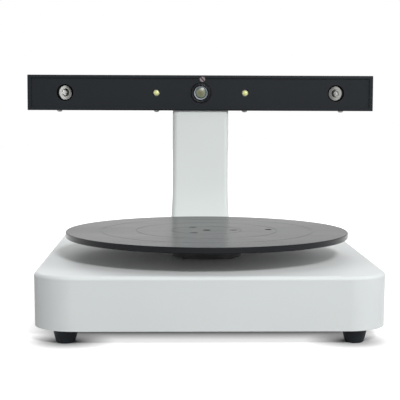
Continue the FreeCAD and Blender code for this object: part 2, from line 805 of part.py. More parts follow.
def motor_stator():
    under, over = motor_levels()[1:3]
    block = motor_block(over, under, STATOR_CORNER)
    return block.cut(post(ROTOR_R + ROTOR_GAP, over - PAST, under + PAST, 0, Y_TABLE))


def motor_bottom_bell():
    over, low = motor_levels()[2:]
    bell = motor_block(low, over, MOTOR_CORNER)
    seat = low + MOTOR_END_WALL + MOTOR_BEARING_WIDTH
    return bell.cut([post(ROTOR_R + MOTOR_CAVITY_GAP, seat, over + PAST, 0, Y_TABLE),
                     post(MOTOR_BEARING_R, low + MOTOR_END_WALL, seat + PAST, 0, Y_TABLE)])


def motor_bearing(z0):
    ring = post(MOTOR_BEARING_R, z0, z0 + MOTOR_BEARING_WIDTH, 0, Y_TABLE)
    bore_r = SHAFT_R + SHAFT_RUNNING_GAP
    return ring.cut(post(bore_r, z0 - PAST, z0 + MOTOR_BEARING_WIDTH + PAST, 0, Y_TABLE))


def motor_bearings():
    top = motor_levels()[0]
    low = motor_levels()[3]
    return [motor_bearing(top - MOTOR_END_WALL - MOTOR_BEARING_WIDTH), motor_bearing(low + MOTOR_END_WALL)]


def motor_rotor():
    under, over = motor_levels()[1:3]
    body = post(ROTOR_R, over + ROTOR_GAP, under - ROTOR_GAP, 0, Y_TABLE)
    return body.cut(post(SHAFT_R, over, under, 0, Y_TABLE))


def motor_shaft():
    low = motor_levels()[3] + MOTOR_END_WALL + ROTOR_GAP
    shaft = post(SHAFT_R, low, shaft_end(), 0, Y_TABLE)
    flat = box(-SHAFT_R - PAST, -SHAFT_FLAT, Y_TABLE - SHAFT_R, Y_TABLE + SHAFT_R,
               seat_floor() + RACE_THICKNESS, shaft_end() + PAST)
    return shaft.cut(flat)


def motor_screws():
    screw = countersunk_screw(M3_R, M3_COUNTERSUNK_R, Z_TOP - motor_top() + MOTOR_SCREW_BITE)
    return [placed(screw, x, y, Z_TOP - FLUSH) for x, y in motor_screw_places()]


def column_body(inset):
    """Straight above; below the waist each side is an arc, tangent to it, that spreads out to the foot."""
    radius = (COLUMN_FLARE ** 2 + COLUMN_FLARE_HEIGHT ** 2) / (2 * COLUMN_FLARE) + inset
    waist = Z_TOP + COLUMN_FLARE_HEIGHT
    reach = COLUMN_CORNER_R - inset

    def side_point(z):
        spread = radius - math.sqrt(radius ** 2 - (waist - z) ** 2)
        return Vector(reach + spread, 0, z)

    start, middle, end = [side_point(z) for z in (Z_TOP, (Z_TOP + waist) / 2, waist)]
    profile = [arc(start, middle, end), line(end, Vector(reach, 0, Z_HEAD))]
    return same_sides(COLUMN_WIDTH - 2 * inset, COLUMN_DEPTH - 2 * inset, profile, reach, 0, Y_COLUMN)


def column():
    outer = column_body(0)
    tube = outer.cut(column_body(COLUMN_WALL))
    bosses = []
    holes = []
    for x, y in column_boss_places():
        web = centred_box(4 * COLUMN_BOSS_R, COLUMN_BOSS_R, Z_TOP, Z_TOP + COLUMN_BOSS_HEIGHT,
                          x + math.copysign(2 * COLUMN_BOSS_R, x), y)
        bosses.append(web.common(outer))
        for low, high in ((Z_TOP, Z_TOP + COLUMN_BOSS_HEIGHT), (Z_HEAD - COLUMN_BOSS_HEIGHT, Z_HEAD)):
            bosses.append(post(COLUMN_BOSS_R, low, high, x, y))
        holes.append(post(M3_R, Z_TOP - PAST, Z_TOP + COLUMN_BOSS_HEIGHT - COLUMN_HOLE_END, x, y))
        holes.append(post(M3_R, Z_HEAD - COLUMN_BOSS_HEIGHT + COLUMN_HOLE_END, Z_HEAD + PAST, x, y))
    return fuse([tube] + bosses).cut(holes)


def column_screws():
    screw = flat_screw(M3_R, M3_HEAD_R, M3_HEAD, BASE_WALL + THREAD_LENGTH)
    return [placed(screw, x, y, Z_CEILING, DOWN) for x, y in column_boss_places()]


def head_housing():
    depth, height, wall = HEAD_DEPTH, HEAD_HEIGHT, HEAD_WALL
    bar = box(-X_CAP, X_CAP, Y_HEAD, Y_HEAD + depth, Z_HEAD, Z_HEAD + height)
    bar = bar.makeFillet(HEAD_CORNER_R, edges_along(bar, RIGHT))
    x = X_CAP + PAST
    top = Z_HEAD + height
    inside = box(-x, x, Y_HEAD + HEAD_LIP_THICKNESS, Y_HEAD_BACK - wall, Z_FLOOR, top - wall)
    window = box(-x, x, Y_HEAD - PAST, Y_INSIDE_HEAD, Z_HEAD + HEAD_LIP, top - HEAD_LIP)
    ribs = [box(-X_CAP, X_CAP, Y_RIB, Y_INSIDE_HEAD, Z_FLOOR - SINK, Z_HEAD + HEAD_LIP),
            box(-X_CAP, X_CAP, Y_RIB, Y_INSIDE_HEAD, top - PANEL_RIB, top - wall + SINK)]
    for y, z in cap_boss_places():
        ribs.append(Part.makeCylinder(CAP_BOSS_R, 2 * X_CAP, Vector(-X_CAP, y, z), RIGHT))
    bar = fuse([bar.cut([inside, window])] + ribs)
    cuts = []
    for y, z in cap_boss_places():
        cuts.append(Part.makeCylinder(M2_R, 2 * x, Vector(-x, y, z), RIGHT))
    for cx, cy in column_boss_places() + floor_screw_places():
        cuts.append(post(M3_R + CLEARANCE, Z_HEAD - PAST, Z_FLOOR + PAST, cx, cy))
    cuts.append(centred_box(CABLE_SLOT, 2 * CABLE_D, Z_HEAD - PAST, Z_FLOOR + PAST, 0, cable_y()))
    screw = panel_screw_centre()
    head_hole_r = PANEL_SCREW_HEAD_R + CLEARANCE
    cuts.append(rod(head_hole_r, Y_HEAD - PAST, Y_HEAD + HEAD_LIP_THICKNESS + FLUSH, screw.x, screw.z))
    cuts.append(rod(M2_R, Y_RIB - PAST, Y_INSIDE_HEAD + PAST, screw.x, screw.z))
    return bar.cut(cuts)


def cap_boss_places():
    y = Y_HEAD_BACK - CAP_SCREW_INSET
    return [(y, Z_HEAD + CAP_SCREW_INSET), (y, Z_HEAD + HEAD_HEIGHT - CAP_SCREW_INSET)]


def panel_screw_centre():
    return Vector(PANEL_SCREW_X, Y_PANEL, Z_HEAD + HEAD_HEIGHT - PANEL_SCREW_DROP)


def head_front_panel():
    x = X_CAP - PANEL_GAP
    low = Z_FLOOR + PANEL_GAP
    panel = box(-x, x, Y_PANEL, Y_PANEL_BACK, low, Z_HEAD + HEAD_HEIGHT - HEAD_WALL - PANEL_GAP)
    screw = panel_screw_centre()
    holes = [(LENS_HEAD_R + LENS_HOLE_GAP, 0, Z_AXIS), (M2_R + CLEARANCE, screw.x, screw.z)]
    for side in (-1, 1):
        holes.append((LED_R + LED_HOLE_GAP, side * LED_X, Z_AXIS))
        holes.append((LASER_R + LASER_HOLE_GAP, side * (LASER_X + LASER_HOLE_SHIFT), Z_AXIS))
    return panel.cut([rod(r, Y_PANEL - PAST, Y_PANEL_BACK + PAST, hole_x, z) for r, hole_x, z in holes])


def panel_screw():
    length = PANEL_THICKNESS + PANEL_GAP / 2 + PANEL_RIB_THICKNESS
    screw = flat_screw(M2_R, PANEL_SCREW_HEAD_R, HEAD_LIP_THICKNESS, length)
    slot_floor = HEAD_LIP_THICKNESS - PANEL_SLOT_DEPTH
    slot = centred_box(4 * PANEL_SCREW_HEAD_R, SLOT_WIDTH, slot_floor, HEAD_LIP_THICKNESS + PAST)
    slot.rotate(ORIGIN, UP, PANEL_SLOT_ANGLE)
    centre = panel_screw_centre()
    return placed(screw.cut(slot), centre.x, centre.y, centre.z, FORWARD)


def head_end_cap(side):
    start = X_CAP if side > 0 else -X_CAP - CAP_THICKNESS
    cap = box(start, start + CAP_THICKNESS, Y_HEAD, Y_HEAD_BACK, Z_HEAD, Z_HEAD + HEAD_HEIGHT)
    cap = cap.makeFillet(HEAD_CORNER_R, edges_along(cap, RIGHT))
    holes = []
    for y, z in cap_boss_places():
        hole = countersink(M2_R, M2_HEAD_R, CAP_THICKNESS + PAST, CLEARANCE / 2)
        holes.append(placed(hole, side * HEAD_WIDTH / 2, y, z, Vector(side, 0, 0)))
    return cap.cut(holes)


def head_end_cap_screws():
    screw = countersunk_screw(M2_R, M2_HEAD_R, CAP_THICKNESS + THREAD_LENGTH)
    screws = []
    for side in (-1, 1):
        for y, z in cap_boss_places():
            screws.append(placed(screw, side * (HEAD_WIDTH / 2 - FLUSH), y, z, Vector(side, 0, 0)))
    return screws


def lens_front():
    return Y_HEAD - LENS_PROUD


def holder_front():
    return Y_INSIDE_HEAD + LENS_HOLDER_BACK


def camera_board_y():
    return holder_front() + LENS_HOLDER_DEPTH


def tab_y():
    return camera_board_y() + BOARD_THICKNESS + CAMERA_SPACER


def tab_back():
    return tab_y() + BRACKET_THICKNESS


def head_bracket():
    """A sheet bracket on the bar's floor; its upright tab is bent up out of a window."""
    places = column_boss_places()
    half_x = max(x for x, y in places) + M3_HEAD_R + BRACKET_MARGIN
    front = Y_INSIDE_HEAD + BRACKET_FRONT_GAP
    back = max(y for x, y in places) + M3_HEAD_R
    top = Z_FLOOR + BRACKET_THICKNESS
    floor = box(-half_x, half_x, front, back, Z_FLOOR, top)
    half_tab = BRACKET_TAB_WIDTH / 2
    tab_top = Z_HEAD + HEAD_HEIGHT - HEAD_WALL - BRACKET_TAB_TOP
    window = box(-half_tab, half_tab, tab_back(), back + PAST, Z_FLOOR - PAST, top + PAST)
    tab = box(-half_tab, half_tab, tab_y(), tab_back(), Z_FLOOR, tab_top)
    bracket = fuse([floor.cut(window), tab])
    cuts = [post(M3_R + CLEARANCE, Z_FLOOR - PAST, top + PAST, x, y) for x, y in places]
    half = HEADER_SIZE / 2 + HEAD_GAP
    cuts.append(box(-half, half, tab_y() - PAST, tab_back() + PAST, Z_AXIS - half, Z_AXIS + half))
    for x, z in camera_hole_places():
        cuts.append(rod(M2_R, tab_y() - PAST, tab_back() + PAST, x, z))
    return bracket.cut(cuts)


def head_bracket_screws():
    screw = flat_screw(M3_R, M3_HEAD_R, M3_HEAD, BRACKET_THICKNESS + HEAD_WALL + THREAD_LENGTH)
    return [placed(screw, x, y, Z_FLOOR + BRACKET_THICKNESS) for x, y in column_boss_places()]


def camera_hole_places():
    return [(i, Z_AXIS + k) for i, k in mirrored_places(CAMERA_HOLE_X, CAMERA_HOLE_Z)]


def camera_header_back():
    return tab_back() + CABLE_GAP


def camera_board():
    y0, y1 = camera_board_y(), camera_board_y() + BOARD_THICKNESS
    half_x, half_z = CAMERA_BOARD_WIDTH / 2, CAMERA_BOARD_HEIGHT / 2
    board = box(-half_x, half_x, y0, y1, Z_AXIS - half_z, Z_AXIS + half_z)
    half = SENSOR_SIZE / 2
    sensor = box(-half, half, y0 - SENSOR_THICKNESS, y0 + SINK, Z_AXIS - half, Z_AXIS + half)
    half = HEADER_SIZE / 2
    header = box(-half, half, y1 - SINK, camera_header_back(), Z_AXIS - half, Z_AXIS + half)
    holes = [rod(M2_R + CLEARANCE, y0 - PAST, y1 + PAST, x, z) for x, z in camera_hole_places()]
    return fuse([board, sensor, header]).cut(holes)


def camera_spacers():
    y0 = camera_board_y() + BOARD_THICKNESS
    rings = []
    for x, z in camera_hole_places():
        ring = rod(M2_HEAD_R, y0, tab_y(), x, z)
        rings.append(ring.cut(rod(M2_R + CLEARANCE, y0 - PAST, tab_y() + PAST, x, z)))
    return rings


def camera_screws():
    length = BOARD_THICKNESS + CAMERA_SPACER + BRACKET_THICKNESS
    screw = flat_screw(M2_R, M2_HEAD_R, M2_HEAD, length)
    return [placed(screw, x, camera_board_y(), z, FORWARD) for x, z in camera_hole_places()]


def lens_holder():
    half = LENS_HOLDER_SIZE / 2
    y0, y1 = holder_front(), camera_board_y()
    body = box(-half, half, y0, y1, Z_AXIS - half, Z_AXIS + half)
    body = body.makeChamfer(LENS_HOLDER_CHAMFER, edges_along(body, BACK))
    return body.cut(rod(LENS_THREAD_R, y0 - PAST, y1 + PAST, 0, Z_AXIS))


def lens_barrel():
    """Turned about the lens axis; depths are measured back from its front rim."""
    shoulder = LENS_HEAD_LENGTH
    back = camera_board_y() - LENS_BACK_GAP - lens_front()
    seat = LENS_GLASS_RECESS + LENS_GLASS_THICKNESS
    chamfer = LENS_HEAD_CHAMFER
    outline = [(LENS_GLASS_R + LENS_BEVEL, 0), (LENS_HEAD_R - chamfer, 0), (LENS_HEAD_R, chamfer),
               (LENS_HEAD_R, shoulder), (LENS_THREAD_R, shoulder), (LENS_THREAD_R, back), (0, back),
               (0, seat), (LENS_GLASS_R, seat), (LENS_GLASS_R, LENS_GLASS_RECESS)]
    barrel = revolved([(r, -depth) for r, depth in outline])
    return placed(barrel, 0, lens_front(), Z_AXIS, FORWARD)


def lens_glass():
    """The front element: a flat back and a domed front inside the barrel's mouth."""
    rim = LENS_GLASS_RECESS + LENS_GLASS_RIM
    back = LENS_GLASS_RECESS + LENS_GLASS_THICKNESS
    dome_r = (LENS_GLASS_R ** 2 + LENS_GLASS_BULGE ** 2) / (2 * LENS_GLASS_BULGE)
    dome = Part.makeSphere(dome_r, Vector(0, 0, LENS_GLASS_BULGE - rim - dome_r))
    glass = post(LENS_GLASS_R, -back, PAST).common(dome)
    return placed(glass, 0, lens_front(), Z_AXIS, FORWARD)


def laser_front(side):
    """The middle of the barrel's front face."""
    return Vector(side * LASER_X, Y_PANEL + LASER_SETBACK, Z_AXIS)


def laser_angle():
    """Both beams meet at the turntable's axis."""
    return math.atan2(LASER_X, laser_front(1).y - Y_TABLE)


def laser_axis(side):
    """Points out of the barrel's mouth."""
    return Vector(-side * math.sin(laser_angle()), -math.cos(laser_angle()), 0)


def along_laser(side, radius, start, end):
    axis = laser_axis(side)
    return Part.makeCylinder(radius, end - start, laser_front(side) - axis * end, axis)


def laser_barrel(side):
    recess = LASER_LENS_RECESS + LASER_LENS_LENGTH
    barrel = along_laser(side, LASER_R, 0, LASER_LENGTH)
    return barrel.cut([along_laser(side, LASER_LENS_R, -PAST, recess),
                       along_laser(side, LASER_BORE_R, recess - PAST, LASER_LENGTH - LASER_BACK_WALL)])


def laser_lens(side):
    return along_laser(side, LASER_LENS_R, LASER_LENS_RECESS, LASER_LENS_RECESS + LASER_LENS_LENGTH)


def clamp_centre(side):
    centre = laser_front(side) - laser_axis(side) * CLAMP_BACK
    return Vector(centre.x, centre.y, Z_FLOOR)


def laser_clamp(side):
    height = Z_AXIS + LASER_R + CLAMP_TOP - Z_FLOOR
    block = centred_box(2 * (LASER_R + CLAMP_SIDE), CLAMP_LENGTH, 0, height)
    block.rotate(ORIGIN, UP, -side * math.degrees(laser_angle()))
    block.translate(clamp_centre(side))
    bore = along_laser(side, LASER_R, -PAST, LASER_LENGTH + PAST)
    place = clamp_centre(side)
    return block.cut([bore, post(M3_R, Z_FLOOR - PAST, Z_AXIS - LASER_R - PAST, place.x, place.y)])


def led_holder_y():
    return Y_INSIDE_HEAD + LED_HOLDER_BACK


def led_holder(side):
    y0 = led_holder_y()
    y1 = y0 + LED_HOLDER_DEPTH
    x = side * LED_X
    half = LED_FLANGE_R + LED_HOLDER_SIDE
    body = box(x - half, x + half, y0, y1, Z_FLOOR, Z_AXIS + LED_FLANGE_R + LED_HOLDER_TOP)
    return body.cut([rod(LED_R, y0 - PAST, y1 + PAST, x, Z_AXIS),
                     post(M3_R, Z_FLOOR - PAST, Z_FLOOR + THREAD_LENGTH + HEAD_GAP, x, (y0 + y1) / 2)])


def led(side):
    """A 5 mm light: a domed body through the panel, a flange that rests on its holder."""
    x = side * LED_X
    front = Y_PANEL - LED_PROUD
    flange = led_holder_y()
    dome_r = (LED_R ** 2 + LED_DOME ** 2) / (2 * LED_DOME)
    dome = Part.makeSphere(dome_r, Vector(x, front + dome_r, Z_AXIS))
    nose = rod(LED_R, front - PAST, front + LED_DOME, x, Z_AXIS).common(dome)
    straight = rod(LED_R, front + LED_DOME, flange + LED_BACK, x, Z_AXIS)
    return fuse([nose, straight, rod(LED_FLANGE_R, flange - LED_FLANGE, flange, x, Z_AXIS)])


def floor_screw_places():
    led_place_y = led_holder_y() + LED_HOLDER_DEPTH / 2
    places = []
    for side in (-1, 1):
        centre = clamp_centre(side)
        places += [(centre.x, centre.y), (side * LED_X, led_place_y)]
    return places


def head_floor_screws():
    length = HEAD_WALL + THREAD_LENGTH - 1
    outline = [(0, BUTTON_HEAD), (BUTTON_TOP_R, BUTTON_HEAD), (BUTTON_R, BUTTON_BAND), (BUTTON_R, 0),
               (M3_R, 0), (M3_R, -length), (0, -length)]
    screw = revolved(outline)
    return [placed(screw, x, y, Z_HEAD, DOWN) for x, y in floor_screw_places()]


def main_board():
    z0, z1 = board_top() - BOARD_THICKNESS, board_top()
    board = centred_box(BOARD_WIDTH, BOARD_DEPTH, z0, z1, BOARD_X, board_y())
    low = z1 - SINK
    header = centred_box(HEADER_SIZE, HEADER_SIZE, low, z1 + HEADER_HEIGHT, 0, cable_y())
    driver = centred_box(DRIVER_WIDTH, DRIVER_DEPTH, low, z1 + DRIVER_HEIGHT, BOARD_X,
                         board_y() - BOARD_DEPTH / 4)
    processor = centred_box(PROCESSOR_SIZE, PROCESSOR_SIZE, low, z1 + PROCESSOR_HEIGHT, PROCESSOR_X,
                            board_y() + PROCESSOR_Y)
    holes = [post(M3_R + CLEARANCE, z0 - PAST, z1 + PAST, x, y) for x, y in board_screw_places()]
    return fuse([board, header, driver, processor]).cut(holes)


def main_board_screws():
    screw = flat_screw(M3_R, M3_HEAD_R, M3_HEAD, BOARD_THICKNESS + BOARD_LIFT - HEAD_GAP)
    return [placed(screw, x, y, board_top()) for x, y in board_screw_places()]


def usb_socket():
    front = Y_BAY + SOCKET_PROUD
    z = usb_centre_z()

    def block(width, height, y0, y1):
        return box(USB_X - width / 2, USB_X + width / 2, y0, y1, z - height / 2, z + height / 2)

    body = block(USB_WIDTH, USB_HEIGHT, front - USB_LENGTH, front)
    mouth = block(USB_MOUTH_WIDTH, USB_MOUTH_HEIGHT, front - USB_MOUTH_DEPTH, front + PAST)
    upper = [e for e in edges_along(mouth, BACK) if e.BoundBox.ZMin > z]
    mouth = mouth.makeChamfer(USB_MOUTH_CHAMFER, upper)
    tongue_root = front - USB_MOUTH_DEPTH - SINK
    tongue = block(USB_TONGUE_WIDTH, USB_TONGUE_HEIGHT, tongue_root, front - USB_TONGUE_BACK)
    return fuse([body.cut(mouth), tongue])


def dc_jack():
    front = Y_BAY + SOCKET_PROUD
    z = jack_centre_z()
    half_x, half_z = JACK_WIDTH / 2, JACK_HEIGHT / 2
    body = box(JACK_X - half_x, JACK_X + half_x, front - JACK_LENGTH, front, z - half_z, z + half_z)
    mouth = rod(JACK_MOUTH_R, front - JACK_MOUTH_DEPTH, front + PAST, JACK_X, z)
    pin = rod(JACK_PIN_R, front - JACK_MOUTH_DEPTH - SINK, front - JACK_PIN_BACK, JACK_X, z)
    return fuse([body.cut(mouth), pin])


def switch_face():
    return Y_BAY + SWITCH_FLANGE


def rocker_centre():
    return Vector(SWITCH_X, switch_face() - ROCKER_PIVOT_DEPTH, switch_z())


def rocker_half_height():
    return SWITCH_BODY_HEIGHT / 2 - SWITCH_RIM


def switch_housing():
    face = switch_face()
    back = Y_BAY - SWITCH_BODY_DEPTH
    z = switch_z()

    def block(width, height, y0, y1, x=SWITCH_X):
        return box(x - width / 2, x + width / 2, y0, y1, z - height / 2, z + height / 2)

    flange = block(SWITCH_WIDTH, SWITCH_HEIGHT, Y_BAY, face)
    flange = flange.makeFillet(SWITCH_CORNER_R, edges_along(flange, BACK))
    pieces = [flange, block(SWITCH_BODY_WIDTH, SWITCH_BODY_HEIGHT, back, Y_BAY + SINK)]
    for step in (-1, 1):
        x = SWITCH_X + step * TERMINAL_PITCH / 2
        pieces.append(block(TERMINAL_THICKNESS, TERMINAL_WIDTH, back - TERMINAL_LENGTH, back + SINK, x))
    height = 2 * (rocker_half_height() + ROCKER_GAP)
    pocket = block(2 * (ROCKER_R + ROCKER_GAP), height, face - SWITCH_POCKET_DEPTH, face + PAST)
    pivot = rocker_centre()
    reach = height / 2 + ROCKER_PIN_LENGTH
    pin_holes = post(ROCKER_PIN_R + ROCKER_PIN_GAP, z - reach, z + reach, pivot.x, pivot.y)
    return fuse(pieces).cut([pocket, pin_holes])


def switch_rocker():
    """Shown switched off: one end is pressed in. Its ends are arcs about the pivot."""
    pivot = rocker_centre()
    half_z = rocker_half_height()
    z = switch_z()
    drum = post(ROCKER_R, z - half_z, z + half_z, pivot.x, pivot.y)
    left = pivot.x - ROCKER_R - PAST
    right = pivot.x + ROCKER_R + PAST
    crown = switch_face() + ROCKER_CROWN
    horn = switch_face() + ROCKER_HORN
    floor = switch_face() - ROCKER_BOTTOM
    face = arc(Vector(right, horn, 0), Vector(pivot.x, crown, 0), Vector(left, horn, 0))
    corners = [(left, horn), (left, floor), (right, floor), (right, horn)]
    sides = lines([Vector(x, y, 0) for x, y in corners])
    slab = Part.Face(Part.Wire([face] + sides)).extrude(Vector(0, 0, 2 * half_z))
    slab.translate(Vector(0, 0, z - half_z))
    pin_reach = half_z + ROCKER_GAP + ROCKER_PIN_LENGTH - ROCKER_PIN_END_GAP
    pins = post(ROCKER_PIN_R, z - pin_reach, z + pin_reach, pivot.x, pivot.y)
    rocker = fuse([drum.common(slab), pins])
    rocker.rotate(pivot, UP, -ROCKER_TILT)
    return rocker


def camera_cable():
    """Straight up from the main board through the column, then forward into the camera board."""
    x, y = 0.0, cable_y()
    start = Vector(x, y, board_top() + HEADER_HEIGHT)
    end = Vector(x, camera_header_back(), Z_AXIS)
    r = min(CABLE_BEND_R, (y - end.y) * 0.8)
    diagonal = r * (1 - math.sqrt(0.5))
    low = Vector(x, y, Z_AXIS - r)
    high = Vector(x, y - r, Z_AXIS)
    bend = arc(low, Vector(x, y - diagonal, Z_AXIS - diagonal), high)
    path = Part.Wire([line(start, low), bend, line(high, end)])
    section = Part.Wire([Part.makeCircle(CABLE_D / 2, start, UP)])
    return path.makePipeShell([section], True, False)


NODES = {
    "base_shell": base_shell,
    "bottom_plate": bottom_plate,
    "bottom_plate_screws": bottom_plate_screws,
    "foot_screws": foot_screws,
    "turntable_disc": turntable_disc,
    "turntable_hub": turntable_hub,
    "hub_screws": hub_screws,
    "hub_grub_screw": hub_grub_screw,
    "bearing_lower_race": lambda: bearing_race(seat_floor()),
    "bearing_upper_race": lambda: bearing_race(race_top() - RACE_THICKNESS),
    "bearing_rollers": bearing_rollers,
    "bearing_cage": bearing_cage,
    "motor_top_bell": motor_top_bell,
    "motor_stator": motor_stator,
    "motor_bottom_bell": motor_bottom_bell,
    "motor_bearings": motor_bearings,
    "motor_rotor": motor_rotor,
    "motor_shaft": motor_shaft,
    "motor_screws": motor_screws,
    "column": column,
    "column_screws": column_screws,
    "head_housing": head_housing,
    "head_front_panel": head_front_panel,
    "panel_screw": panel_screw,
    "head_end_cap_left": lambda: head_end_cap(-1),
    "head_end_cap_right": lambda: head_end_cap(1),
    "head_end_cap_screws": head_end_cap_screws,
    "head_bracket": head_bracket,
    "head_bracket_screws": head_bracket_screws,
    "head_floor_screws": head_floor_screws,
    "camera_board": camera_board,
    "camera_spacers": camera_spacers,
    "camera_screws": camera_screws,
    "lens_holder": lens_holder,
    "lens_barrel": lens_barrel,
    "lens_glass": lens_glass,
    "laser_barrel_left": lambda: laser_barrel(-1),
    "laser_barrel_right": lambda: laser_barrel(1),
    "laser_lens_left": lambda: laser_lens(-1),
    "laser_lens_right": lambda: laser_lens(1),
    "laser_clamp_left": lambda: laser_clamp(-1),
    "laser_clamp_right": lambda: laser_clamp(1),
    "led_left": lambda: led(-1),
    "led_right": lambda: led(1),
    "led_holder_left": lambda: led_holder(-1),
    "led_holder_right": lambda: led_holder(1),
    "main_board": main_board,
    "main_board_screws": main_board_screws,
    "usb_socket": usb_socket,
    "dc_jack": dc_jack,
    "switch_housing": switch_housing,
    "switch_rocker": switch_rocker,
    "camera_cable": camera_cable,
}

FOOT_NAMES = ["foot_front_left", "foot_front_right", "foot_rear_left", "foot_rear_right"]


def main():
    os.makedirs("parts", exist_ok=True)
    shapes = {name: make() for name, make in NODES.items()}
    for name, (x, y) in zip(FOOT_NAMES, foot_places()):
        shapes[name] = foot(x, y)
    for name, shape in shapes.items():
        if isinstance(shape, list):
            shape = Part.makeCompound(shape)
        shape.exportStep(os.path.join("parts", name + ".step"))


main()
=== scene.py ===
"""Looks of a desktop 3d scanner: white moulded base and column, black turntable and sensor bar."""

import json
import math

import bpy
from mathutils import Matrix, Vector
from mathutils.bvhtree import BVHTree


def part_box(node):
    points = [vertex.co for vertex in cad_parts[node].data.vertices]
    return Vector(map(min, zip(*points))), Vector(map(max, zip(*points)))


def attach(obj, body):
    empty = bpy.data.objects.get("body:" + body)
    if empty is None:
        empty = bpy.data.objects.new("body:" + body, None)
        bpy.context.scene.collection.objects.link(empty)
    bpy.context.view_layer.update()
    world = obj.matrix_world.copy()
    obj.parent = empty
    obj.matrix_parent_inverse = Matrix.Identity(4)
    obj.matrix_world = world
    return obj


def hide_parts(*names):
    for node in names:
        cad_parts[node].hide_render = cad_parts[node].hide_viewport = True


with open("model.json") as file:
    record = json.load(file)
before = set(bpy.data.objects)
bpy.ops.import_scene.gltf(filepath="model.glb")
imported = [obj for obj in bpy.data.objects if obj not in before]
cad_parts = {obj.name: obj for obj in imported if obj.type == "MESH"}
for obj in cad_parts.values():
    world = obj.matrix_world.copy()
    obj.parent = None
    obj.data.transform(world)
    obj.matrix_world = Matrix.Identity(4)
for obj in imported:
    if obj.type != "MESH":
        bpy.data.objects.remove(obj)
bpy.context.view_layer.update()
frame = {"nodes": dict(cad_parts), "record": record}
bpy.ops.object.select_all(action="DESELECT")

SLOT_OF = {part["node"]: part["material_slot"] for part in frame["record"]["subparts"]}
BODY_OF = {node: body for body, nodes in frame["record"]["behaviour"]["bodies"].items()
           for node in nodes}

# The object faces -Y. Lengths are in metres.
FORWARD, UP, DOWN = (0, -1, 0), (0, 0, 1), (0, 0, -1)
MERGE_DISTANCE = 0.0000005

# Up to how many degrees an edge shades smoothly
CURVED_ANGLE = 35
TRIM_ANGLE = 30
FINE_ANGLE = 40

# The base's top edge: the solid's round, and the smaller one that its skin is drawn out to
BASE_CORNER_R = 0.027
SOLID_EDGE_R = 0.004
SKIN_EDGE_R = 0.0026
HAIR = 0.00002

# The drives in the screws' heads: sizes across, and how far each is turned, in radians
HEX_M2 = 0.0013
HEX_M3 = 0.0020
PLATE_CROSS = 0.0032
FOOT_CROSS = 0.0040
CROSS_WIDTH = 0.0008
DRIVE_DEPTH = 0.0009
FIRST_SPIN = 0.2
SPIN_STEP = 0.7

# The camera's lens, from its bevelled ring in to its stop
LENS_THREAD_PITCH = 0.0004
LENS_RING_WIDTH = 0.0009
LENS_RING_LIP = 0.00008
LENS_RING_STEP = 0.0001
LENS_BEVEL_TOP = 0.0002
LENS_BEVEL_DEPTH = 0.0009
LENS_GAP = 0.00002
LENS_STOP_R = 0.0048
FRONT_BULGE = 0.0007
DOME_STEPS = 12
LATHE_STEPS = 64

# A laser's sleeve, its seat and the glass block on it
LASER_SLEEVE_R = 0.00338
LASER_SLEEVE_WALL = 0.0003
LASER_SLEEVE_ROUND = 0.0001
LASER_SEAT_DEPTH = 0.0017
LASER_LENS_LENGTH = 0.0025
LASER_LENS_RECESS = 0.0013
LASER_FACE_DEPTH = 0.0002
LASER_BLOCK_SIZE = 0.0036
LASER_BLOCK_RECESS = 0.0006
LASER_BLOCK_BEVEL = 0.0002

# The rocker's painted marks; the offset is a share of the rocker's length
MARK_THICKNESS = 0.00006
MARK_HEIGHT = 0.0042
MARK_STROKE = 0.0006
MARK_RING_R = 0.00176
MARK_OFFSET = 0.27
MARK_RAY_START = 0.01
MARK_CELLS = (3, 12)

# The sockets, the lamps, the panel's screw and the motor's sheets
TONGUE_HALF_WIDTH = 0.0030
TONGUE_HALF_HEIGHT = 0.0018
TONGUE_DEPTH = 0.009
CONTACT_LENGTH = 0.0070
CONTACT_WIDTH = 0.0008
CONTACT_THICKNESS = 0.00015
CONTACT_BEVEL = 0.000045
CONTACT_X = 0.00125
CONTACT_Z = 0.00162
CONTACT_RECESS = 0.0052
JACK_PIN_R = 0.00125
LAMP_CUP_R = (0.0012, 0.0024)
# Below this depth the panel screw's slot gets painted shade
SLOT_SHADE_DEPTH = 0.0003
SHEET_PITCH = 0.0005

# The photograph's camera, with its lens in millimetres and its angles in degrees
CAMERA_EYE = (-0.0262, -0.8537, 0.1523)
CAMERA_LENS = 102.1
CAMERA_SENSOR = 36.0
CAMERA_PITCH, CAMERA_YAW, CAMERA_ROLL = 4.805, 1.523, 0.2

# The room's light on the object, and each lamp's place, target, size and power in watts
ROOM_LIGHT = 0.34
LAMPS = {
    "key_softbox": ((0.37, -1.42, 0.95), (0.0, -0.1, 0.05), (0.3, 0.2), 18.0),
    "right_softbox": ((1.5, -0.5, 0.6), (0.0, 0.0, 0.06), (0.9, 0.9), 10.0),
    "left_fill": ((-1.5, -1.2, 0.5), (0.0, -0.1, 0.05), (1.0, 0.8), 4.0),
    "top_softbox": ((0.15, -0.08, 1.7), (0.0, -0.08, 0.05), (0.8, 0.5), 2.5),
    "front_fill": ((0.1, -2.6, 0.5), (0.0, 0.0, 0.05), (2.2, 0.7), 1.5),
    "back_fill": ((-0.4, 1.7, 1.3), (0.0, 0.1, 0.05), (1.2, 0.8), 9.0),
}

# The floor's colour as seen and as it lights the object, and how its white glow grows:
# away from the middle, out in front and at the sides of the base, and round each foot.
# The glow is held low under the base and round each foot, which paints their shadow,
# and is high just beside the base, which paints light over the base's real shadow there
FLOOR_SIZE = 6.0
FLOOR_WHITE = (0.62, 0.62, 0.62)
FLOOR_BOUNCE = (0.18, 0.18, 0.18)
UNDER_GLOW = 0.10
OPEN_GLOW = 0.75
FAR_REACH = (0.25, 0.6)
FRONT_PAINTED_SHADOW = (0.103, 0.127)
SIDE_PAINTED_SHADOW = (0.088, 0.125)
FOOT_PAINTED_SHADOW = (0.007, 0.032)

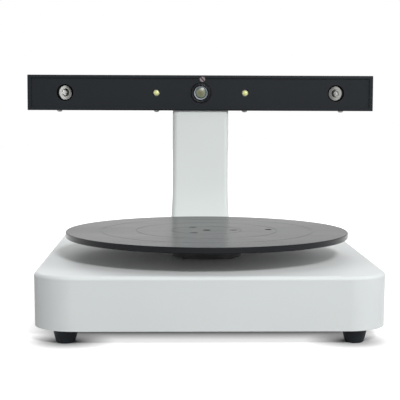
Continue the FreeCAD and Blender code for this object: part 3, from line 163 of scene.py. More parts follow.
BLACK = (0.0, 0.0, 0.0)
PURE_WHITE = (1.0, 1.0, 1.0)
WHITE = (0.615, 0.645, 0.645)
# The base's white, painted a little lighter and greener for how the light falls on the column
PAINTED_LIGHT_COLUMN_WHITE = (0.63, 0.665, 0.65)
MARK_WHITE = (0.75, 0.75, 0.74)
BAR_BLACK = (0.010, 0.0125, 0.015)
PITCH_BLACK = (0.012, 0.013, 0.014)
SOOT_BLACK = (0.010, 0.010, 0.011)
MATT = {"Specular_IOR_Level": 0.35, "Sheen_Weight": 0.38, "Sheen_Roughness": 0.5}

SMOOTH_NODES = [
    "base_shell", "bottom_plate", "foot_front_left", "foot_front_right", "foot_rear_left",
    "foot_rear_right", "turntable_disc", "turntable_hub", "column", "head_housing",
    "head_front_panel", "head_end_cap_left", "head_end_cap_right", "lens_barrel",
    "laser_barrel_left", "laser_barrel_right", "led_left", "led_right", "switch_rocker",
    "switch_housing", "dc_jack", "hub_grub_screw",
]


def middle(node):
    low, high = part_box(node)
    return (low + high) / 2


TABLE_AXIS = Vector((0.0, middle("turntable_disc").y, 0.0))


def tinted(colour, factor, lift=0.0):
    return tuple(c * factor + lift for c in colour)


class Wire:
    """A shader socket that works in Python sums; each operator adds a Math node."""

    def __init__(self, maker, socket):
        self.maker = maker
        self.socket = socket

    def math(self, operation, first, second=0.0):
        return self.maker.node("ShaderNodeMath", {"operation": operation}, {0: first, 1: second})

    def __add__(self, other):
        return self.math("ADD", self, other)

    def __radd__(self, other):
        return self.math("ADD", other, self)

    def __sub__(self, other):
        return self.math("SUBTRACT", self, other)

    def __rsub__(self, other):
        return self.math("SUBTRACT", other, self)

    def __mul__(self, other):
        return self.math("MULTIPLY", self, other)

    def __rmul__(self, other):
        return self.math("MULTIPLY", other, self)

    def __truediv__(self, other):
        return self.math("DIVIDE", self, other)

    def __rtruediv__(self, other):
        return self.math("DIVIDE", other, self)

    def __lt__(self, other):
        return self.math("LESS_THAN", self, other)

    def __gt__(self, other):
        return self.math("GREATER_THAN", self, other)

    def __abs__(self):
        return self.math("ABSOLUTE", self)

    def sine(self):
        return self.math("SINE", self)

    def root(self):
        return self.math("SQRT", self)


class NodeMaker:
    """Adds and links the nodes of one tree."""

    def __init__(self, tree):
        self.tree = tree

    def connect(self, socket, value):
        if isinstance(value, Wire):
            self.tree.links.new(value.socket, socket)
        elif socket.type == "RGBA":
            socket.default_value = (*value, 1.0)
        else:
            socket.default_value = value

    def node(self, kind, settings=None, inputs=None, output=0):
        node = self.tree.nodes.new(kind)
        for key, value in (settings or {}).items():
            if key == "stops":
                self.set_stops(node.color_ramp, value)
            else:
                setattr(node, key, value)
        for key, value in (inputs or {}).items():
            self.connect(node.inputs[key], value)
        return Wire(self, node.outputs[output])

    def set_stops(self, ramp, stops):
        while len(ramp.elements) < len(stops):
            ramp.elements.new(1.0)
        for element, (place, colour) in zip(ramp.elements, stops):
            element.position = place
            element.color = (*colour, 1.0)

    def ramp(self, value, low, high, start=0.0, end=1.0):
        inputs = {"Value": value, "From Min": low, "From Max": high, "To Min": start, "To Max": end}
        return self.node("ShaderNodeMapRange", {"clamp": True}, inputs, "Result")

    def seen_directly(self):
        """1 for what the camera sees, itself or in gloss or through glass, and 0 for lighting."""
        camera, gloss, glass = [self.node("ShaderNodeLightPath", output=f"Is {kind} Ray")
                                for kind in ("Camera", "Glossy", "Transmission")]
        return (camera + gloss + glass) > 0.5


class Finish(NodeMaker):
    """A material under construction, with its Principled shader's constants set directly."""

    def __init__(self, name, colour, roughness, **constants):
        self.material = bpy.data.materials.new(name)
        self.material.use_nodes = True
        super().__init__(self.material.node_tree)
        self.shader = self.tree.nodes["Principled BSDF"]
        self.feed("Base Color", colour)
        self.feed("Roughness", roughness)
        for key, value in constants.items():
            self.feed(key.replace("_", " "), value)

    def place(self):
        return self.node("ShaderNodeTexCoord", output="Object")

    def split(self, vector):
        return [self.node("ShaderNodeSeparateXYZ", None, {0: vector}, axis) for axis in "XYZ"]

    def join(self, x, y, z):
        return self.node("ShaderNodeCombineXYZ", None, {0: x, 1: y, 2: z})

    def stretched(self, vector, factors):
        settings = {"operation": "MULTIPLY"}
        return self.node("ShaderNodeVectorMath", settings, {0: vector, 1: factors})

    def noise(self, vector, scale, detail=3.0, roughness=0.5):
        inputs = {"Vector": vector, "Scale": scale, "Detail": detail, "Roughness": roughness}
        return self.node("ShaderNodeTexNoise", None, inputs, "Fac")

    def spots(self, vector, scale):
        inputs = {"Vector": vector, "Scale": scale}
        return self.node("ShaderNodeTexVoronoi", None, inputs, "Distance")

    def mix(self, mask, first, second):
        inputs = {0: mask, 6: first, 7: second}
        return self.node("ShaderNodeMix", {"data_type": "RGBA"}, inputs, 2)

    def feed(self, name, value):
        self.connect(self.shader.inputs[name], value)

    def colour(self, mask, first, second):
        """First where the mask is 0, second where it is 1."""
        self.feed("Base Color", self.mix(mask, first, second))

    def dullness(self, value, low, high, start, end):
        """Roughness from start to end as the value goes from low to high."""
        self.feed("Roughness", self.ramp(value, low, high, start, end))

    def bump(self, height, distance):
        inputs = {"Height": height, "Distance": distance, "Strength": 1.0}
        self.feed("Normal", self.node("ShaderNodeBump", None, inputs))


def distance(across, along):
    return (across * across + along * along).root()


def radius_about(finish, centre, axis):
    """Distance from an axis through centre along x, y or z."""
    places = zip("xyz", finish.split(finish.place()), centre)
    return distance(*[value - offset for name, value, offset in places if name != axis])


def moulded_plastic(name, colour, roughness, grain=0.000015, cloud=0.03, **constants):
    """Spark-eroded mould texture, with a slight cloudiness in colour and shine."""
    finish = Finish(name, colour, roughness, **constants)
    place = finish.place()
    clouds = finish.noise(place, 14.0, 4.0)
    fine = finish.noise(place, 1600.0, 2.0)
    pale = finish.ramp(clouds, 0.35, 0.65)
    finish.colour(pale, tinted(colour, 1 - cloud), tinted(colour, 1 + cloud))
    finish.dullness(clouds + fine, 0.6, 1.4, roughness - 0.05, roughness + 0.05)
    finish.bump(fine + finish.noise(place, 420.0, 2.0) * 0.6, grain)
    return finish.material


def rubber(name, colour):
    """Matt rubber with a dusty bloom and a fine moulded grain."""
    finish = Finish(name, colour, 0.62, Specular_IOR_Level=0.25)
    place = finish.place()
    bloom = finish.ramp(finish.noise(place, 260.0, 5.0, 0.6), 0.45, 0.75)
    finish.colour(bloom, colour, tinted(colour, 1.3, 0.003))
    finish.dullness(bloom, 0.0, 1.0, 0.55, 0.75)
    finish.bump(finish.noise(place, 2400.0), 0.00002)
    return finish.material


def turned_black(name, colour, roughness, axis, centre):
    """Satin black with the faint rings of a lathe tool and a few wiping marks."""
    finish = Finish(name, colour, roughness, Specular_IOR_Level=0.14)
    radius = radius_about(finish, centre, axis)
    rings = finish.noise(finish.join(radius, 0.0, 0.0), 900.0, 4.0, 0.7)
    wipes = finish.noise(finish.stretched(finish.place(), (9.0, 22.0, 9.0)), 1.0)
    finish.colour(finish.ramp(wipes, 0.35, 0.65), colour, tinted(colour, 1.35, 0.001))
    finish.dullness(rings * 0.4 + wipes, 0.45, 0.95, roughness - 0.02, roughness + 0.03)
    finish.bump(rings, 0.0000005)
    return finish.material


def anodised(name, colour, roughness):
    """Anodised extrusion: a fine grain along its length, faintly uneven in tone."""
    finish = Finish(name, colour, roughness, Specular_IOR_Level=0.12)
    place = finish.place()
    grain = finish.noise(finish.stretched(place, (6.0, 220.0, 900.0)), 1.0, 4.0, 0.6)
    tone = finish.ramp(finish.noise(place, 9.0), 0.3, 0.7)
    finish.colour(tone, tinted(colour, 0.88), tinted(colour, 1.12))
    finish.dullness(grain, 0.3, 0.7, roughness - 0.05, roughness + 0.07)
    finish.bump(grain, 0.000006)
    return finish.material


def bare_metal(name, colour, roughness, scale=700.0, metallic=1.0):
    """Plated or machined metal with fine scratches and dull patches."""
    finish = Finish(name, colour, roughness, Metallic=metallic)
    place = finish.place()
    scratch = finish.noise(finish.stretched(place, (1.0, 0.25, 2.2)), scale, 4.0, 0.65)
    patch = finish.noise(place, 120.0)
    finish.colour(finish.ramp(patch, 0.35, 0.7), tinted(colour, 0.86), colour)
    finish.dullness(scratch + patch, 0.7, 1.3, roughness - 0.07, roughness + 0.12)
    finish.bump(scratch, 0.000006)
    return finish.material


def laminations(name, colour):
    """A stack of thin sheets, seen on edge."""
    finish = Finish(name, colour, 0.5, Metallic=0.3)
    x, y, z = finish.split(finish.place())
    wave = (z * (2 * math.pi / SHEET_PITCH)).sine()
    finish.colour(finish.ramp(wave, -1.0, 0.2), tinted(colour, 0.5), colour)
    finish.bump(wave, 0.00004)
    return finish.material


def circuit_board(name):
    """Green solder resist over paler tracks, with tinned pads."""
    resist, track, tin = (0.012, 0.10, 0.045), (0.03, 0.20, 0.08), (0.55, 0.56, 0.55)
    finish = Finish(name, resist, 0.35, Coat_Weight=0.3)
    place = finish.place()
    runs = finish.noise(finish.stretched(place, (40.0, 260.0, 260.0)), 1.0, 1.0)
    tracks = finish.ramp(abs(runs - 0.5), 0.02, 0.03, 1.0, 0.0)
    pads = finish.spots(place, 330.0) < 0.16
    finish.colour(pads, finish.mix(tracks, resist, track), tin)
    finish.feed("Metallic", pads * 0.9)
    finish.bump(tracks + pads, 0.00003)
    return finish.material


def coating_and_painted_depth(name, centre):
    """The lens: an olive coating, with painted reflection of its inner elements, greener and paler
    towards its rim, and painted shade, dark at the stop.
    """
    finish = Finish(name, (0.10, 0.10, 0.05), 0.35, Specular_IOR_Level=0.6)
    radius = radius_about(finish, centre, "y") / LENS_STOP_R
    cloud = finish.noise(finish.place(), 260.0)
    # Over the coating's olive, these stops paint reflection of the inner rings and the shade at the
    # rim.
    stops = [(0.0, (0.10, 0.092, 0.035)), (0.45, (0.115, 0.12, 0.055)),
             (0.75, (0.15, 0.175, 0.11)), (1.0, (0.01, 0.018, 0.016))]
    depth = radius * 1.08 + (cloud - 0.5) * 0.3
    finish.feed("Base Color", finish.node("ShaderNodeValToRGB", {"stops": stops}, {0: depth}))
    finish.dullness(cloud, 0.4, 0.7, 0.3, 0.42)
    return finish.material


def phosphor_lamp(name, centre):
    """A light that is off: yellow phosphor under clear resin, paler at its rim."""
    finish = Finish(name, (0.62, 0.66, 0.22), 0.22, Coat_Weight=1.0, Subsurface_Weight=0.15,
                    Subsurface_Radius=(0.001, 0.001, 0.0004))
    cup = finish.ramp(radius_about(finish, centre, "y"), *LAMP_CUP_R)
    grains = finish.noise(finish.place(), 2600.0)
    core = finish.mix(finish.ramp(grains, 0.4, 0.6), (0.62, 0.62, 0.16), (0.70, 0.73, 0.30))
    finish.colour(cup, core, (0.66, 0.70, 0.42))
    finish.bump(grains, 0.00002)
    return finish.material


def socket_shell(name):
    """The data socket: bright folded shell, black tongue inside."""
    finish = Finish(name, (0.62, 0.62, 0.60), 0.3, Metallic=1.0)
    centre, back = middle("usb_socket"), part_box("usb_socket")[1].y
    x, y, z = finish.split(finish.place())
    tongue = abs(x - centre.x) < TONGUE_HALF_WIDTH
    tongue = tongue * (abs(z - centre.z) < TONGUE_HALF_HEIGHT) * (y > back - TONGUE_DEPTH)
    patch = finish.noise(finish.place(), 300.0, 4.0)
    metal = finish.mix(finish.ramp(patch, 0.4, 0.7), (0.50, 0.50, 0.48), (0.66, 0.66, 0.64))
    finish.colour(tongue, metal, (0.015, 0.015, 0.016))
    finish.feed("Metallic", 1 - tongue)
    finish.dullness(patch, 0.3, 0.7, 0.24, 0.4)
    finish.bump(patch, 0.00001)
    return finish.material


def jack_body(name):
    """The power socket: black moulding with a bright centre pin."""
    black, bright = (0.014, 0.014, 0.015), (0.66, 0.64, 0.58)
    finish = Finish(name, black, 0.45)
    pin = radius_about(finish, middle("dc_jack"), "y") < JACK_PIN_R
    grain = finish.noise(finish.place(), 1500.0, 2.0)
    finish.colour(pin, black, bright)
    finish.feed("Metallic", pin)
    finish.dullness(grain, 0.3, 0.7, 0.36, 0.5)
    finish.bump(grain, 0.00001)
    return finish.material


def slotted_head(name, colour):
    """Dull steel, with painted shade that keeps it dark down in the screw's slot."""
    finish = Finish(name, colour, 0.42, Metallic=1.0)
    x, y, z = finish.split(finish.place())
    # Painted shade: everything deeper than the head's face is near black, where the slot's shade
    # falls.
    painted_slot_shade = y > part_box("panel_screw")[0].y + SLOT_SHADE_DEPTH
    patch = finish.noise(finish.place(), 500.0, 4.0)
    steel = finish.mix(finish.ramp(patch, 0.35, 0.65), tinted(colour, 0.8), colour)
    finish.colour(painted_slot_shade, steel, (0.012, 0.012, 0.013))
    finish.bump(patch, 0.000008)
    return finish.material


def laser_aim(side):
    """The middle of a laser's lens and the level direction of its beam."""
    place = middle("laser_lens_" + side)
    aim = TABLE_AXIS - place
    aim.z = 0.0
    return place, aim.normalized()


def laser_tube(side):
    """A black tube with a bright turned front face."""
    bright = (0.42, 0.42, 0.40)
    finish = Finish("laser_tube_" + side, bright, 0.5)
    place, aim = laser_aim(side)
    x, y, z = finish.split(finish.place())
    face = place.dot(aim) + LASER_LENS_LENGTH / 2 + LASER_LENS_RECESS - LASER_FACE_DEPTH
    front = (x * aim.x + y * aim.y) > face
    patch = finish.noise(finish.place(), 900.0, 4.0)
    metal = finish.mix(finish.ramp(patch, 0.35, 0.65), tinted(bright, 0.88), bright)
    finish.colour(front, SOOT_BLACK, metal)
    finish.feed("Metallic", front * 0.25)
    finish.dullness(patch, 0.3, 0.7, 0.42, 0.55)
    finish.bump(patch, 0.000008)
    return finish.material


def threaded(name, colour, roughness, axis, centre, pitch):
    """Black turned metal with the fine rings of a thread round its axis."""
    finish = Finish(name, colour, roughness, Metallic=0.9)
    rings = (radius_about(finish, centre, axis) * (2 * math.pi / pitch)).sine()
    patch = finish.noise(finish.place(), 500.0, 4.0)
    finish.colour(finish.ramp(patch, 0.35, 0.65), tinted(colour, 0.86), colour)
    finish.dullness(patch, 0.3, 0.7, roughness - 0.05, roughness + 0.1)
    finish.bump(rings + patch, 0.00002)
    return finish.material


# The finish of each of the record's material slots
FINISHES = {
    "white_plastic": moulded_plastic("white_plastic", WHITE, 0.52, 0.000006, 0.012, **MATT),
    "foot_rubber": rubber("foot_rubber", (0.007, 0.010, 0.013)),
    "table_black": turned_black("table_black", (0.003, 0.0035, 0.005), 0.24, "z", TABLE_AXIS),
    "hub_black": moulded_plastic("hub_black", PITCH_BLACK, 0.45),
    "screw_steel": bare_metal("screw_steel", (0.55, 0.54, 0.53), 0.3),
    "black_screws": bare_metal("black_screws", (0.10, 0.10, 0.10), 0.36),
    "bearing_steel": bare_metal("bearing_steel", (0.62, 0.61, 0.60), 0.22),
    "cage_brass": bare_metal("cage_brass", (0.72, 0.52, 0.22), 0.3),
    "motor_aluminium": bare_metal("motor_aluminium", (0.60, 0.60, 0.60), 0.42, 500.0),
    "motor_black": laminations("motor_black", (0.05, 0.05, 0.05)),
    "rotor_iron": laminations("rotor_iron", (0.28, 0.27, 0.26)),
    "bar_black": anodised("bar_black", BAR_BLACK, 0.42),
    "panel_black": moulded_plastic("panel_black", BAR_BLACK, 0.44, 0.000006, 0.08,
                                   Specular_IOR_Level=0.12),
    "bracket_steel": bare_metal("bracket_steel", (0.55, 0.55, 0.54), 0.35),
    "board_green": circuit_board("board_green"),
    "holder_black": moulded_plastic("holder_black", PITCH_BLACK, 0.5),
    "lens_black": threaded("lens_black", (0.012, 0.013, 0.015), 0.34, "y",
                           middle("lens_barrel"), LENS_THREAD_PITCH),
    "lens_glass": coating_and_painted_depth("lens_coating_and_painted_depth", middle("lens_glass")),
    "laser_metal": bare_metal("laser_metal", (0.44, 0.44, 0.42), 0.5, 900.0, 0.25),
    "laser_glass": moulded_plastic("laser_glass", (0.66, 0.66, 0.63), 0.12, 0.000001, 0.1,
                                   Coat_Weight=1.0),
    "led_yellow": phosphor_lamp("led_yellow", middle("led_left")),
    "socket_metal": socket_shell("socket_metal"),
    "socket_black": moulded_plastic("socket_black", PITCH_BLACK, 0.4),
    "rocker_black": moulded_plastic("rocker_black", SOOT_BLACK, 0.2, 0.000004),
    "cable_black": rubber("cable_black", SOOT_BLACK),
}
# The nodes whose finish differs from the rest of their slot
NODE_FINISHES = {
    # The column is the base's white plastic, as a lighter, greener copy that paints the light on
    # it.
    "column": moulded_plastic("column_white_painted_light", PAINTED_LIGHT_COLUMN_WHITE, 0.52, 0.000006, 0.012, **MATT),
    "dc_jack": jack_body("jack_black"),
    "led_right": phosphor_lamp("led_right_yellow", middle("led_right")),
    "laser_barrel_left": laser_tube("left"),
    "laser_barrel_right": laser_tube("right"),
    "panel_screw": slotted_head("panel_screw_steel", (0.15, 0.13, 0.135)),
    "hub_screws": bare_metal("hub_screw_steel", (0.07, 0.07, 0.07), 0.45),
    "head_floor_screws": bare_metal("floor_screw_steel", (0.28, 0.28, 0.28), 0.38),
}


def finish_of(node):
    return NODE_FINISHES.get(node) or FINISHES[SLOT_OF[node]]


def set_material(piece, material):
    piece.data.materials.clear()
    piece.data.materials.append(material)


def dress(piece, node, material=None):
    """The piece takes the node's body, and the node's finish unless it is given one of its own."""
    set_material(piece, material or finish_of(node))
    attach(piece, BODY_OF[node])


def stand_in(piece, node, material=None):
    """The piece is dressed as the node and shows in its place."""
    dress(piece, node, material)
    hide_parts(node)


def activate(piece):
    bpy.ops.object.select_all(action="DESELECT")
    piece.select_set(True)
    bpy.context.view_layer.objects.active = piece


def apply_modifier(piece, kind, **settings):
    activate(piece)
    modifier = piece.modifiers.new(kind, kind)
    for key, value in settings.items():
        setattr(modifier, key, value)
    bpy.ops.object.modifier_apply(modifier=modifier.name)


def edit_all(piece, operator, **settings):
    """Runs an edit mode operator on the piece's whole mesh."""
    activate(piece)
    bpy.ops.object.mode_set(mode="EDIT")
    bpy.ops.mesh.select_all(action="SELECT")
    operator(**settings)
    bpy.ops.object.mode_set(mode="OBJECT")


def turned_towards(direction):
    """The turn that takes +z to a direction."""
    return Vector((0, 0, 1)).rotation_difference(Vector(direction)).to_matrix().to_4x4()


def set_down(piece, place, direction, spin=0.0, size=(1.0, 1.0, 1.0)):
    """Sizes a new piece, points its z axis along direction and puts its place into its mesh."""
    turn = turned_towards(direction) @ Matrix.Rotation(spin, 4, "Z")
    piece.matrix_world = Matrix.Translation(place) @ turn @ Matrix.Diagonal((*size, 1.0))
    activate(piece)
    bpy.ops.object.transform_apply(location=True, rotation=True, scale=True)


def smooth(piece, degrees=TRIM_ANGLE):
    activate(piece)
    bpy.ops.object.shade_smooth_by_angle(angle=math.radians(degrees))


def join(pieces):
    bpy.ops.object.select_all(action="DESELECT")
    for piece in pieces:
        piece.select_set(True)
    bpy.context.view_layer.objects.active = pieces[0]
    if len(pieces) > 1:
        bpy.ops.object.join()
    return pieces[0]


def joined_copy(node):
    """A copy of a CAD node with its loose triangles joined into one skin."""
    mesh = frame["nodes"][node].data.copy()
    piece = bpy.data.objects.new(node + "_skin", mesh)
    bpy.context.scene.collection.objects.link(piece)
    activate(piece)
    if mesh.has_custom_normals:
        bpy.ops.mesh.customdata_custom_splitnormals_clear()
    edit_all(piece, bpy.ops.mesh.remove_doubles, threshold=MERGE_DISTANCE)
    return piece


def draw_out_edge(piece):
    """Draws the base's rounded top edge out to a smaller round."""
    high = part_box("base_shell")[1]
    for vertex in piece.data.vertices:
        place = vertex.co
        outwards = Vector((max(abs(place.x) - high.x + BASE_CORNER_R, 0.0),
                           max(abs(place.y) - high.y + BASE_CORNER_R, 0.0)))
        inset, drop = BASE_CORNER_R - outwards.length, high.z - place.z
        off_round = math.hypot(SOLID_EDGE_R - inset, SOLID_EDGE_R - drop) - SOLID_EDGE_R
        if max(inset, drop) < SOLID_EDGE_R + HAIR and abs(off_round) < HAIR:
            step = outwards.normalized() * inset * (1 - SKIN_EDGE_R / SOLID_EDGE_R)
            place.x += math.copysign(step.x, place.x)
            place.y += math.copysign(step.y, place.y)
            place.z = high.z - drop * SKIN_EDGE_R / SOLID_EDGE_R


def polished(node):
    """Curved faces shade smoothly, and flat ones stay flat up to their tangent edges."""
    piece = joined_copy(node)
    if node == "base_shell":
        draw_out_edge(piece)
    smooth(piece, CURVED_ANGLE)
    apply_modifier(piece, "WEIGHTED_NORMAL", mode="FACE_AREA", weight=100, keep_sharp=True)
    stand_in(piece, node)


def shells(piece):
    """The lowest and highest corner of each loose shell of a mesh, from left to right."""
    mesh = piece.data
    root = list(range(len(mesh.vertices)))

    def find(index):
        while root[index] != index:
            root[index] = root[root[index]]
            index = root[index]
        return index

    for edge in mesh.edges:
        first, second = find(edge.vertices[0]), find(edge.vertices[1])
        root[first] = second
    groups = {}
    for vertex in mesh.vertices:
        groups.setdefault(find(vertex.index), []).append(vertex.co)
    boxes = []
    for points in groups.values():
        low = Vector([min(point[axis] for point in points) for axis in range(3)])
        high = Vector([max(point[axis] for point in points) for axis in range(3)])
        boxes.append((low, high))
    return sorted(boxes, key=lambda box: tuple(round(v, 5) for v in box[0]))


def hex_cutter(across, place, direction, spin):
    bpy.ops.mesh.primitive_cylinder_add(vertices=6, radius=across / math.sqrt(3),
                                        depth=2 * DRIVE_DEPTH)
    piece = bpy.context.active_object
    set_down(piece, place, direction, spin)
    return piece


def block(size, place, direction, spin=0.0):
    bpy.ops.mesh.primitive_cube_add(size=1.0)
    piece = bpy.context.active_object
    set_down(piece, place, direction, spin, size)
    return piece


def cross_cutter(across, place, direction, spin):
    """One blade of a cross."""
    return block((across, CROSS_WIDTH, 2 * DRIVE_DEPTH), place, direction, spin)


def head_face(low, high, direction):
    """The middle of the face of a screw's box that its axis points out of."""
    place = (low + high) / 2
    for axis in range(3):
        if abs(direction[axis]) > 0.5:
            place[axis] = high[axis] if direction[axis] > 0 else low[axis]
    return place


def driven_screws(node, facing, cutter_of, across, turns=(0.0,)):
    """The node's screws with a drive cut into each head, once for each turn of its cutter."""
    piece = joined_copy(node)
    screws = shells(piece)
    for turn in turns:
        cutters = []
        for index, (low, high) in enumerate(screws):
            direction = Vector(facing(low, high))
            spin = FIRST_SPIN + SPIN_STEP * index + turn
            cutters.append(cutter_of(across, head_face(low, high, direction), direction, spin))
        cutter = join(cutters)
        apply_modifier(piece, "BOOLEAN", operation="DIFFERENCE", solver="EXACT", object=cutter)
        bpy.data.objects.remove(cutter)
    smooth(piece)
    stand_in(piece, node)


def upwards(low, high):
    return UP


def downwards(low, high):
    return DOWN


def sideways(low, high):
    return (1.0 if low.x + high.x > 0 else -1.0, 0.0, 0.0)


def detailed_screws():
    cross = (0.0, math.pi / 2)
    driven_screws("head_floor_screws", downwards, hex_cutter, HEX_M3)
    driven_screws("hub_screws", upwards, hex_cutter, HEX_M3)
    driven_screws("head_end_cap_screws", sideways, hex_cutter, HEX_M2)
    driven_screws("bottom_plate_screws", downwards, cross_cutter, PLATE_CROSS, cross)
    driven_screws("foot_screws", downwards, cross_cutter, FOOT_CROSS, cross)


def lathe(name, outline, place, direction):
    """Spins an open outline of (radius, depth) points; depth runs back from place."""
    points = [Vector((radius, 0.0, -depth)) for radius, depth in outline]
    bpy.ops.mesh.primitive_plane_add(size=0.001)
    piece = bpy.context.active_object
    piece.name = name
    bpy.ops.object.mode_set(mode="EDIT")
    bpy.ops.mesh.merge(type="CENTER")
    bpy.ops.transform.translate(value=points[0])
    for start, end in zip(points, points[1:]):
        bpy.ops.mesh.extrude_vertices_move(TRANSFORM_OT_translate={"value": end - start})
    bpy.ops.mesh.select_all(action="SELECT")
    bpy.ops.mesh.spin(steps=LATHE_STEPS, angle=2 * math.pi, center=(0, 0, 0), axis=(0, 0, 1))
    bpy.ops.mesh.select_all(action="SELECT")
    bpy.ops.mesh.remove_doubles(threshold=MERGE_DISTANCE)
    bpy.ops.mesh.normals_make_consistent(inside=False)
    bpy.ops.object.mode_set(mode="OBJECT")
    set_down(piece, place, direction)
    smooth(piece)
    return piece


def dome(radius, bulge, depth):
    """Points of a shallow dome from its rim, at depth, to its crown, bulge nearer the front."""
    sphere = (radius ** 2 + bulge ** 2) / (2 * bulge)
    points = []
    for index in range(DOME_STEPS, -1, -1):
        across = radius * index / DOME_STEPS
        rise = math.sqrt(sphere ** 2 - across ** 2) - (sphere - bulge)
        points.append((across, depth - rise))
    return points


def camera_lens():
    """A coated front element, sunk in a bright bevelled ring."""
    low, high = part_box("lens_glass")
    place = middle("lens_glass")
    place.y = low.y
    back = high.y - low.y
    outer = (high.x - low.x) / 2
    inner = outer - LENS_RING_WIDTH
    top = LENS_BEVEL_TOP
    bottom = top + LENS_BEVEL_DEPTH
    outline = [(outer, top), (outer - LENS_RING_LIP, top), (inner + LENS_RING_STEP, bottom),
               (inner, bottom + LENS_RING_STEP), (inner, back), (outer, back), (outer, top)]
    ring = lathe("lens_bevel_ring", outline, place, FORWARD)
    silver = bare_metal("bevel_silver", (0.34, 0.39, 0.43), 0.4, 900.0, 0.15)
    dress(ring, "lens_barrel", silver)
    rim = inner - LENS_GAP
    outline = [(0.0, back), (rim, back)] + dome(rim, FRONT_BULGE, bottom + LENS_RING_STEP)
    stand_in(lathe("lens_front_element", outline, place, FORWARD), "lens_glass")


def laser_optics(side):
    """A square glass block on a grey seat, down a black sleeve inside the laser's barrel."""
    node = "laser_lens_" + side
    place, aim = laser_aim(side)
    front = place + aim * LASER_LENS_LENGTH / 2
    outer, inner = LASER_SLEEVE_R, LASER_SLEEVE_R - LASER_SLEEVE_WALL
    outline = [(inner, LASER_SEAT_DEPTH), (inner, LASER_SLEEVE_ROUND),
               (inner + LASER_SLEEVE_ROUND, 0.0), (outer, 0.0), (outer, LASER_SEAT_DEPTH),
               (inner, LASER_SEAT_DEPTH)]
    sleeve = lathe("laser_sleeve_" + side, outline, front, aim)
    stand_in(sleeve, node, FINISHES["holder_black"])
    outline = [(0.0, LASER_SEAT_DEPTH), (outer, LASER_SEAT_DEPTH), (outer, LASER_LENS_LENGTH),
               (0.0, LASER_LENS_LENGTH)]
    seat = lathe("laser_seat_" + side, outline, front, aim)
    dress(seat, node, FINISHES["bracket_steel"])
    height = LASER_SEAT_DEPTH - LASER_BLOCK_RECESS
    centre = front - aim * (LASER_BLOCK_RECESS + height / 2)
    glass = block((LASER_BLOCK_SIZE, LASER_BLOCK_SIZE, height), centre, aim)
    glass.name = "laser_block_" + side
    apply_modifier(glass, "BEVEL", width=LASER_BLOCK_BEVEL, segments=3, limit_method="ANGLE")
    smooth(glass)
    dress(glass, node, FINISHES["laser_glass"])


def turned_screw():
    """The panel's screw, a quarter turn on, so that its slot falls to the right."""
    piece = joined_copy("panel_screw")
    edit_all(piece, bpy.ops.transform.rotate, value=math.pi / 2, orient_axis="Y",
             center_override=middle("panel_screw"))
    smooth(piece)
    stand_in(piece, "panel_screw")


def rocker_marks():
    """A line for on and a ring for off, painted on the rocker's two ends and following its face."""
    low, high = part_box("switch_rocker")
    centre = middle("switch_rocker")
    skin = joined_copy("switch_rocker")
    rays = BVHTree.FromObject(skin, bpy.context.evaluated_depsgraph_get())

    def face_at(side):
        x = centre.x + side * MARK_OFFSET * (high.x - low.x)
        return rays.ray_cast(Vector((x, high.y + MARK_RAY_START, centre.z)), Vector(FORWARD))[:2]

    across, along = MARK_CELLS
    bpy.ops.mesh.primitive_grid_add(x_subdivisions=across, y_subdivisions=along, size=1.0)
    line = bpy.context.active_object
    line.name = "rocker_mark_line"
    set_down(line, *face_at(1), size=(MARK_STROKE, MARK_HEIGHT, 1.0))
    outline = [(MARK_RING_R + MARK_STROKE * share, 0.0) for share in (-0.5, 0.0, 0.5)]
    ring = lathe("rocker_mark_ring", outline, *face_at(-1))
    paint = moulded_plastic("mark_white", MARK_WHITE, 0.4)
    for mark in (line, ring):
        apply_modifier(mark, "SHRINKWRAP", target=skin, wrap_method="NEAREST_SURFACEPOINT")
        apply_modifier(mark, "SOLIDIFY", thickness=2 * MARK_THICKNESS, offset=0.0)
        smooth(mark, FINE_ANGLE)
        dress(mark, "switch_rocker", paint)
    bpy.data.objects.remove(skin)


def socket_contacts():
    """Gilt strips on both faces of the data socket's tongue."""
    centre, back = middle("usb_socket"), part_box("usb_socket")[1].y
    strips = []
    for face in (-1, 1):
        for side in (-1, 1):
            place = (centre.x + side * CONTACT_X, back - CONTACT_RECESS,
                     centre.z + face * CONTACT_Z)
            strip = block((CONTACT_WIDTH, CONTACT_LENGTH, CONTACT_THICKNESS), place, UP)
            apply_modifier(strip, "BEVEL", width=CONTACT_BEVEL, segments=2)
            strips.append(strip)
    contacts = join(strips)
    contacts.name = "usb_contacts"
    smooth(contacts, FINE_ANGLE)
    dress(contacts, "usb_socket", bare_metal("contact_gilt", (0.83, 0.62, 0.25), 0.25))


def camera():
    """Where the photograph was taken from."""
    data = bpy.data.cameras.new("photo_camera")
    data.lens = CAMERA_LENS
    data.sensor_width = CAMERA_SENSOR
    data.sensor_fit = "HORIZONTAL"
    pitch, yaw, roll = [math.radians(turn) for turn in (CAMERA_PITCH, CAMERA_YAW, CAMERA_ROLL)]
    level = Vector((math.cos(yaw), -math.sin(yaw), 0.0))
    ahead = Vector((math.sin(yaw) * math.cos(pitch), math.cos(yaw) * math.cos(pitch),
                    -math.sin(pitch)))
    right = level * math.cos(roll) + level.cross(ahead) * math.sin(roll)
    turn = Matrix((right, right.cross(ahead), -ahead)).transposed().to_4x4()
    piece = bpy.data.objects.new("photo_camera", data)
    bpy.context.scene.collection.objects.link(piece)
    piece.matrix_world = Matrix.Translation(CAMERA_EYE) @ turn
    bpy.context.scene.camera = piece


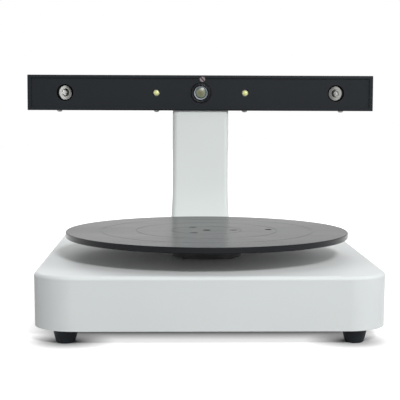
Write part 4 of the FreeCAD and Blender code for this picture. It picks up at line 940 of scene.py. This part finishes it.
def lamp(name, place, target, size, power):
    """A soft rectangular light that shines from place towards target."""
    data = bpy.data.lights.new(name, "AREA")
    data.shape = "RECTANGLE"
    data.size, data.size_y = size
    data.energy = power
    piece = bpy.data.objects.new(name, data)
    bpy.context.scene.collection.objects.link(piece)
    aim = Vector(target) - Vector(place)
    piece.matrix_world = Matrix.Translation(place) @ turned_towards(-aim.normalized())


def room():
    """A dim white room for lighting, which shows as pure white itself and in gloss."""
    world = bpy.data.worlds.new("studio")
    bpy.context.scene.world = world
    world.use_nodes = True
    sky = NodeMaker(world.node_tree)
    background = sky.tree.nodes["Background"]
    sky.connect(background.inputs["Color"], PURE_WHITE)
    strength = sky.ramp(sky.seen_directly(), 0.0, 1.0, ROOM_LIGHT, 1.0)
    sky.connect(background.inputs["Strength"], strength)


def floor():
    """A white floor that glows, with painted shadow under the base and round the feet where its
    glow is low, and painted light over the real shadow just beside the base.
    """
    bpy.ops.mesh.primitive_plane_add(size=FLOOR_SIZE, location=(0.0, 0.0, 0.0))
    piece = bpy.context.active_object
    piece.name = "studio_floor"
    finish = Finish("floor_white", FLOOR_WHITE, 0.9, Specular_IOR_Level=0.1, Emission_Strength=1.0)
    seen = finish.seen_directly()
    grain = finish.noise(finish.place(), 30.0)
    white = finish.mix(grain, FLOOR_WHITE, tinted(FLOOR_WHITE, 1.0, 0.02))
    finish.colour(seen, FLOOR_BOUNCE, white)
    x, y, z = finish.split(finish.place())
    foot = middle("foot_front_left")
    off_foot = distance(abs(x) - abs(foot.x), abs(y) - abs(foot.y))
    # Painted shadow: the glow drops under the base and round each foot; painted light: it rises
    # beside the base.
    open_floor = finish.ramp(abs(x), *SIDE_PAINTED_SHADOW) + finish.ramp(abs(y), *FRONT_PAINTED_SHADOW)
    near = finish.ramp(open_floor, 0.0, 1.0, UNDER_GLOW, OPEN_GLOW)
    far = finish.ramp(distance(x, y), *FAR_REACH)
    glow = near * finish.ramp(off_foot, *FOOT_PAINTED_SHADOW) + far
    finish.feed("Emission Color", finish.mix(seen * glow, BLACK, PURE_WHITE))
    set_material(piece, finish.material)


for node_name, node_object in frame["nodes"].items():
    set_material(node_object, finish_of(node_name))
for node_name in SMOOTH_NODES:
    polished(node_name)
detailed_screws()
camera_lens()
laser_optics("left")
laser_optics("right")
turned_screw()
rocker_marks()
socket_contacts()
camera()
room()
for lamp_name, lamp_facts in LAMPS.items():
    lamp(lamp_name, *lamp_facts)
floor()

bpy.context.scene.view_settings.view_transform = "Standard"
bpy.ops.object.select_all(action="DESELECT")
